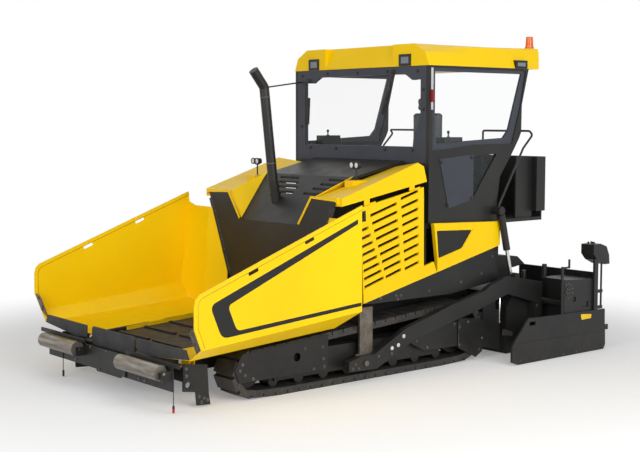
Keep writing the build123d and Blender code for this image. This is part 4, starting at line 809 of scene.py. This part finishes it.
# Screed: bolt ring on the side panel, blank film on the end plate, silver rod and slotted plate by the auger
screedTrim = {
    # radius and number of bolts of each ring, and x that bounds the panel
    "ring": (-2.295, 0.765), "rings": ((0.086, 11), (0.032, 5)), "ringY": 1.792, "ringBoltSize": 0.008,
    "edgeX": -2.240, "flange": ((-0.001, 0.050), (0.003, 0.050), (0.004, 0.047)),
    "label": ((-2.515, 0.471), (-2.719, 0.456), (-2.712, 0.407), (-2.533, 0.403)), "labelY": 1.8148,
    "labelBend": 0.012, "labelSheet": 0.001,
    "endBolts": ((-1.441, 0.047), (-1.984, 0.030), (-2.195, 0.030), (-2.436, 0.030), (-2.940, 0.040),
                 (-2.940, 0.190)),
    "endY": 1.820, "endBoltSize": 0.007,
    "rod": (-1.682, 1.274), "rodZ": (0.390, 0.700), "rodRadius": 0.013, "rodBevel": 0.004,
    "guard": ((-1.734, 0.305), (-1.917, 0.262), (-1.913, 0.204), (-1.730, 0.235)), "guardY": 1.2745,
    "guardSheet": 0.006, "guardBevel": 0.001,
    "knobs": ((-2.775, 1.705), (-2.805, 1.745), (-2.840, 1.700), (-2.790, 1.780)), "knobZ": 1.2905,
    "knob": ((-0.002, 0.006), (0.012, 0.006), (0.012, 0.011), (0.022, 0.013), (0.028, 0.009))}


def makeScreedTrim(t):
    # Points on a circle: centre + radius * (cos, sin), where they still lie on the panel
    places, (ringX, ringZ), ringY = [], t["ring"], t["ringY"]
    for radius, count in t["rings"]:
        turn = np.arange(count) * 2 * np.pi / count
        x, z = ringX + radius * np.cos(turn), ringZ + radius * np.sin(turn)
        places += [(px, ringY, pz) for px, pz in zip(x, z) if px < t["edgeX"]]
    makePair("ringBolt", hexBolts(places, (0, 1, 0), t["ringBoltSize"]), "zincBolt", "extension")
    flange = lathe(t["flange"], (ringX, ringY, ringZ), (0, 1, 0), 32)
    makePair("ringFlange", flange, "black_paint", "extension")
    label = sideView(roundedCorners(t["label"], t["labelBend"], 4), t["labelY"])
    makePair("endLabel", prism(label, (0, t["labelSheet"], 0)), "signFilm", "extension")
    ends = hexBolts(sideView(t["endBolts"], t["endY"]), (0, 1, 0), t["endBoltSize"])
    makePair("endBolt", ends, "zincBolt", "extension")
    (x, y), (z0, z1), radius, bevel = t["rod"], t["rodZ"], t["rodRadius"], t["rodBevel"]
    profile = [(0, radius * 0.8), (bevel, radius), (z1 - z0 - bevel, radius), (z1 - z0, radius * 0.8)]
    makePiece("shieldRod", bothSides(lathe(profile, (x, y, z0), (0, 0, 1), 20)), "rod_chrome", smooth=True)
    guard = prism(sideView(t["guard"], t["guardY"]), (0, t["guardSheet"], 0))
    makePiece("screedGuard", bothSides(guard), "wornSteel", "screed", bevel=t["guardBevel"])
    places = [(x, y, t["knobZ"]) for x, y in t["knobs"]]
    knobs = repeated(lathe(t["knob"], (0, 0, 0), (0, 0, 1), 16), places)
    makePair("panelKnob", knobs, "black_paint", "extension", smooth=True)


makeScreedTrim(screedTrim)

# Exhaust clamps, bolts and pointer's tip on the roller beam, caps on the push rollers, levers in the cab
smallTrim = {
    "clampAt": ((0.583, -0.200, 2.300), (0.6686, -0.200, 3.050)), "exhaustLean": (0.120, 0, 1.050),
    "clampRadii": (0.0552, 0.0605), "clampHalf": 0.012,
    # x, y, z of the bolts' places on the beam
    "beamBolts": ((2.892, 0.031, 0.421), (2.892, 0.377, 0.232), (2.880, 0.640, 0.235),
                  (2.880, 0.748, 0.235), (2.880, 1.081, 0.280), (2.892, -0.300, 0.421),
                  (2.892, -0.120, 0.215), (2.880, -0.640, 0.235), (2.880, -1.081, 0.280)),
    "beamBoltSize": 0.011,
    "rollerX": 2.968, "rollerZ": 0.390, "rollerY": (0.430, 1.180),
    "capRadii": (0.017, 0.068), "capDepth": 0.004,
    "levers": ((-1.000, 1.070), (-1.000, -1.070)), "leverZ": 2.584,
    "lever": ((-0.003, 0.022), (0.004, 0.022), (0.012, 0.009), (0.0375, 0.008), (0.045, 0.014),
              (0.06375, 0.017), (0.075, 0.010)),
    "tip": (2.8835, 1.262, 0.014), "tipProfile": ((0, 0.00744), (0.002, 0.0124), (0.036, 0.0124))}


def closedRing(radii, start, along, depth, sides=32):
    # Flat ring: the section's four corners (distance, radius) turned about the axis and joined round
    inner, outer = radii
    profile = [(0, inner), (0, outer), (depth, outer - depth / 2), (depth, inner)]
    points = lathe(profile, start, along, sides)[0]
    return points, gridFaces(4, sides, wrapRows=True, wrapColumns=True)


def makeSmallTrim(t):
    # Rings round the exhaust and on the rollers' ends, and turned profiles for the tip and the levers
    half = t["clampHalf"]
    along = np.array(t["exhaustLean"]) / np.linalg.norm(t["exhaustLean"])
    clamps = [closedRing(t["clampRadii"], np.array(place) - half * along, along, 2 * half, 40)
              for place in t["clampAt"]]
    makePiece("exhaustClamp", joined(clamps), "zincBolt", smooth=True)
    makePiece("beamBolt", hexBolts(t["beamBolts"], (1, 0, 0), t["beamBoltSize"]), "zincBolt", "roller_beam")
    caps = [closedRing(t["capRadii"], (t["rollerX"], y, t["rollerZ"]), (0, way, 0), t["capDepth"])
            for y, way in zip(t["rollerY"], (-1, 1))]
    makePair("rollerCap", joined(caps), "wornSteel", "push_roller")
    tip = lathe(t["tipProfile"], t["tip"], (0, 0, 1), 20)
    makePiece("pointerTip", tip, "reflectRed", "roller_beam", smooth=True)
    places = [(x, y, t["leverZ"]) for x, y in t["levers"]]
    levers = repeated(lathe(t["lever"], (0, 0, 0), (0, 0, 1), 18), places)
    makePiece("cabLever", levers, "black_paint", smooth=True)


makeSmallTrim(smallTrim)


# Driver's seat: padded pieces over the CAD seat, each as low corner, high corner and roundness
seatPads = {
    "seatCushion": ((-1.205, 0.335, 2.062), (-0.703, 0.785, 2.166), 0.034),
    "seatBack": ((-1.234, 0.335, 2.104), (-1.114, 0.785, 2.876), 0.038),
    "seatHeadrest": ((-1.200, 0.435, 2.884), (-1.104, 0.685, 3.046), 0.034),
    "seatArmLeft": ((-1.128, 0.762, 2.332), (-0.802, 0.798, 2.378), 0.015),
    "seatArmRight": ((-1.128, 0.322, 2.332), (-0.802, 0.358, 2.378), 0.015),
}
seatSkin = {
    "inset": 0.007, "voxel": 0.008, "pressure": 4.0, "frames": 20, "cap": 0.009,
    # piece: axis that the channels cross, their places along it, face direction that they are sewn into
    "channels": {"seatCushion": (0, (-1.08, -0.95, -0.82), 2), "seatBack": (2, (2.28, 2.46, 2.64), 0)},
    "channelDepth": 0.006, "channelWidth": 0.007,
    "bolsterWidth": 0.0675, "bolsterSlope": 0.03, "bolsterRise": 0.010}
seatBase = {
    "pedestal": ((-1.215, 0.415, 1.602), (-0.945, 0.705, 2.058)), "ribs": 7, "ribDepth": 0.006,
    "ribBevel": 0.004, "bracketBevel": 0.003,
    "brackets": (((-1.128, 0.323, 2.162), (-1.092, 0.357, 2.336)),
                 ((-1.128, 0.763, 2.162), (-1.092, 0.797, 2.336)))}


def roundedBlock(low, high, roundness, rows=7, sides=48, power=0.34):
    # Superellipse sections: each level of a box is a rounded outline that draws in towards both ends
    low, high = np.array(low), np.array(high)
    middle, half = (low + high) / 2, (high - low) / 2
    turn = np.arange(sides) * 2 * np.pi / sides
    outline = np.stack([np.sign(np.cos(turn)) * np.abs(np.cos(turn)) ** power,
                        np.sign(np.sin(turn)) * np.abs(np.sin(turn)) ** power], -1)
    lean = np.linspace(-np.pi / 2, np.pi / 2, 2 * rows)
    level = np.sign(lean) * half[2] - np.sign(lean) * roundness * (1 - np.abs(np.sin(lean)))
    draw = roundness * (1 - np.cos(lean))
    rings = [np.column_stack([middle[:2] + outline * (half[:2] - inward), np.full(sides, middle[2] + height)])
             for height, inward in zip(level, draw)]
    last = (len(rings) - 1) * sides
    faces = gridFaces(len(rings), sides, wrapColumns=True)
    return np.concatenate(rings), faces + [list(range(sides)), list(range(last, last + sides))]


def meshPoints(mesh):
    # The mesh's points as an array of rows x, y, z
    points = np.empty(len(mesh.vertices) * 3)
    mesh.vertices.foreach_get("co", points)
    return points.reshape(-1, 3)


def padSkin(piece, skin):
    # Even mesh, then the cloth swells under pressure; no point may end further than the cap from its start
    remesh = piece.modifiers.new("even", "REMESH")
    remesh.mode, remesh.voxel_size = "VOXEL", skin["voxel"]
    piece.data = bakedMesh(piece)
    piece.modifiers.clear()
    start = meshPoints(piece.data)
    cloth = piece.modifiers.new("skin", "CLOTH")
    cloth.settings.use_pressure = True
    cloth.settings.uniform_pressure_force = skin["pressure"]
    cloth.settings.effector_weights.gravity = 0
    cloth.point_cache.frame_start, cloth.point_cache.frame_end = 1, skin["frames"]
    for number in range(1, skin["frames"] + 1):
        scene.frame_set(number)
    swollen = bakedMesh(piece)
    piece.modifiers.clear()
    moved = meshPoints(swollen) - start
    reach = np.linalg.norm(moved, axis=1)[:, None]
    points = start + moved * np.minimum(1, skin["cap"] / np.maximum(reach, 1e-9))
    swollen.vertices.foreach_set("co", points.ravel())
    piece.data = swollen
    scene.frame_set(1)
    return piece


def sewChannels(piece, skin):
    # The middle sinks by bolsterRise, so that bolsters stand along both sides, and each channel in it by
    # channelDepth times exp(-(distance / channelWidth)^2)
    axis, places, face = skin["channels"][piece.name]
    points = meshPoints(piece.data)
    low, high = points.min(0), points.max(0)
    middle, top = (low + high) / 2, high[face]
    near = np.clip((points[:, face] - middle[face]) / (top - middle[face]), 0, 1) ** 2
    side = np.abs(points[:, 1] - middle[1])
    inner = np.clip((high[1] - middle[1] - skin["bolsterWidth"] - side) / skin["bolsterSlope"], 0, 1)
    for place in places:
        sink = np.exp(-((points[:, axis] - place) / skin["channelWidth"]) ** 2)
        points[:, face] -= skin["channelDepth"] * sink * near * inner
    points[:, face] -= skin["bolsterRise"] * near * inner
    piece.data.vertices.foreach_set("co", points.ravel())
    piece.data.update()


def makePads(pads, skin):
    # Rounded blocks a little smaller than the pads, which the skin then fills
    made = []
    for name, (low, high, roundness) in pads.items():
        inset = min(skin["inset"], roundness / 3)
        shape = roundedBlock(np.array(low) + inset, np.array(high) - inset, roundness)
        pad = padSkin(makePiece(name, shape, "seat_vinyl"), skin)
        if name in skin["channels"]:
            sewChannels(pad, skin)
        pad.data.materials.clear()
        pad.data.materials.append(finishes["seat_vinyl"])
        pad.data.shade_smooth()
        smooth = pad.modifiers.new("smooth", "SUBSURF")
        smooth.levels = smooth.render_levels = 1
        made.append(pad)
    return made


def makeSeat(pads, skin, base):
    # Pads, then the bellows, whose square rings draw in by ribDepth at every second level, and two brackets
    made = makePads(pads, skin)
    (x0, y0, z0), (x1, y1, z1) = base["pedestal"]
    rings = []
    for number, z in enumerate(np.linspace(z0, z1, 2 * base["ribs"] + 1)):
        d = base["ribDepth"] * (number % 2)
        rings.append([(x0 + d, y0 + d, z), (x1 - d, y0 + d, z), (x1 - d, y1 - d, z), (x0 + d, y1 - d, z)])
    last = (len(rings) - 1) * 4
    faces = gridFaces(len(rings), 4, wrapColumns=True) + [list(range(4)), list(range(last, last + 4))]
    bellows = makePiece("seatBellows", (np.reshape(rings, (-1, 3)), faces), "rubber", bevel=base["ribBevel"])
    bars = joined([block(low, high) for low, high in base["brackets"]])
    bars = makePiece("seatBracket", bars, "black_paint", bevel=base["bracketBevel"])
    for piece in [bellows, *made, bars]:
        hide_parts("seat")


makeSeat(seatPads, seatSkin, seatBase)
print("seat made")


# Studio: pale floor that fades to white with distance, plain world, soft panels beside, before and above
studio = {
    "floorSize": 80,
    "floorColour": (0.86, 0.86, 0.86),
    "floorRough": 0.9,
    "floorGlow": 0.21,
    "fadeFrom": 3.6,
    "fadeTo": 7.0,
    "skyLevel": 0.30,
    "panels": (
        # name, place, aims at, width, height, watts
        ("sidePanel", (1.5, 11.0, 4.0), (0.0, 0.0, 1.4), 9.0, 5.0, 740),
        ("frontPanel", (12.0, 2.5, 4.0), (0.0, 0.0, 1.4), 7.0, 5.0, 460),
        ("topPanel", (0.5, 1.0, 10.5), (0.0, 0.0, 0.0), 8.0, 8.0, 120),
    ),
}


def seenDirectly(tree):
    # 1 for camera, mirror and see-through rays, 0 for the rays that light the machine
    path = addNode(tree, "ShaderNodeLightPath")
    mirror = combine(tree, "MAXIMUM", path.outputs["Is Glossy Ray"], path.outputs["Is Transmission Ray"])
    return combine(tree, "MAXIMUM", path.outputs["Is Camera Ray"], mirror)


def floorFinish(s):
    # White paper near the machine; with distance from the middle it turns into a plain glow of strength 1
    mat, tree, shader = newTree("floor")
    shader.inputs["Base Color"].default_value = (*s["floorColour"], 1)
    shader.inputs["Roughness"].default_value = s["floorRough"]
    shader.inputs["Specular IOR Level"].default_value = 0
    shader.inputs["Emission Color"].default_value = (1, 1, 1, 1)
    direct = seenDirectly(tree)
    tree.links.new(remap(tree, direct, 0, 1, 0, s["floorGlow"]), shader.inputs["Emission Strength"])
    distance = addNode(tree, "ShaderNodeVectorMath", operation="LENGTH")
    tree.links.new(objectCoords(tree), distance.inputs[0])
    fade = addNode(tree, "ShaderNodeMapRange", interpolation_type="SMOOTHSTEP")
    fade.inputs["From Min"].default_value = s["fadeFrom"]
    fade.inputs["From Max"].default_value = s["fadeTo"]
    tree.links.new(distance.outputs["Value"], fade.inputs["Value"])
    glow = addNode(tree, "ShaderNodeEmission")
    glow.inputs["Color"].default_value = (1, 1, 1, 1)
    glow.inputs["Strength"].default_value = 1.0
    mix = addNode(tree, "ShaderNodeMixShader")
    tree.links.new(combine(tree, "MULTIPLY", fade.outputs["Result"], direct), mix.inputs["Fac"])
    tree.links.new(shader.outputs["BSDF"], mix.inputs[1])
    tree.links.new(glow.outputs["Emission"], mix.inputs[2])
    tree.links.new(mix.outputs["Shader"], tree.nodes["Material Output"].inputs["Surface"])
    return mat


def makeStudio(s):
    # World that shows white and lights at skyLevel, a square floor, and panels turned towards what they light
    world = bpy.data.worlds.new("studio")
    scene.world = world
    world.use_nodes = True
    tree = world.node_tree
    sky = tree.nodes["Background"]
    tree.links.new(remap(tree, seenDirectly(tree), 0, 1, s["skyLevel"], 1.0), sky.inputs["Strength"])
    sky.inputs["Color"].default_value = (1, 1, 1, 1)
    half = s["floorSize"] / 2
    mesh = bpy.data.meshes.new("floor")
    corners = [(-half, -half, 0), (half, -half, 0), (half, half, 0), (-half, half, 0)]
    mesh.from_pydata(corners, [], [(0, 1, 2, 3)])
    mesh.materials.append(floorFinish(s))
    floor = bpy.data.objects.new("floor", mesh)
    scene.collection.objects.link(floor)
    for name, place, target, width, height, watts in s["panels"]:
        lamp = bpy.data.lights.new(name, "AREA")
        lamp.shape, lamp.size, lamp.size_y, lamp.energy = "RECTANGLE", width, height, watts
        panel = bpy.data.objects.new(name, lamp)
        panel.location = place
        panel.rotation_mode = "QUATERNION"
        panel.rotation_quaternion = (Vector(target) - Vector(place)).to_track_quat("-Z", "Y")
        scene.collection.objects.link(panel)


makeStudio(studio)
print("studio made")
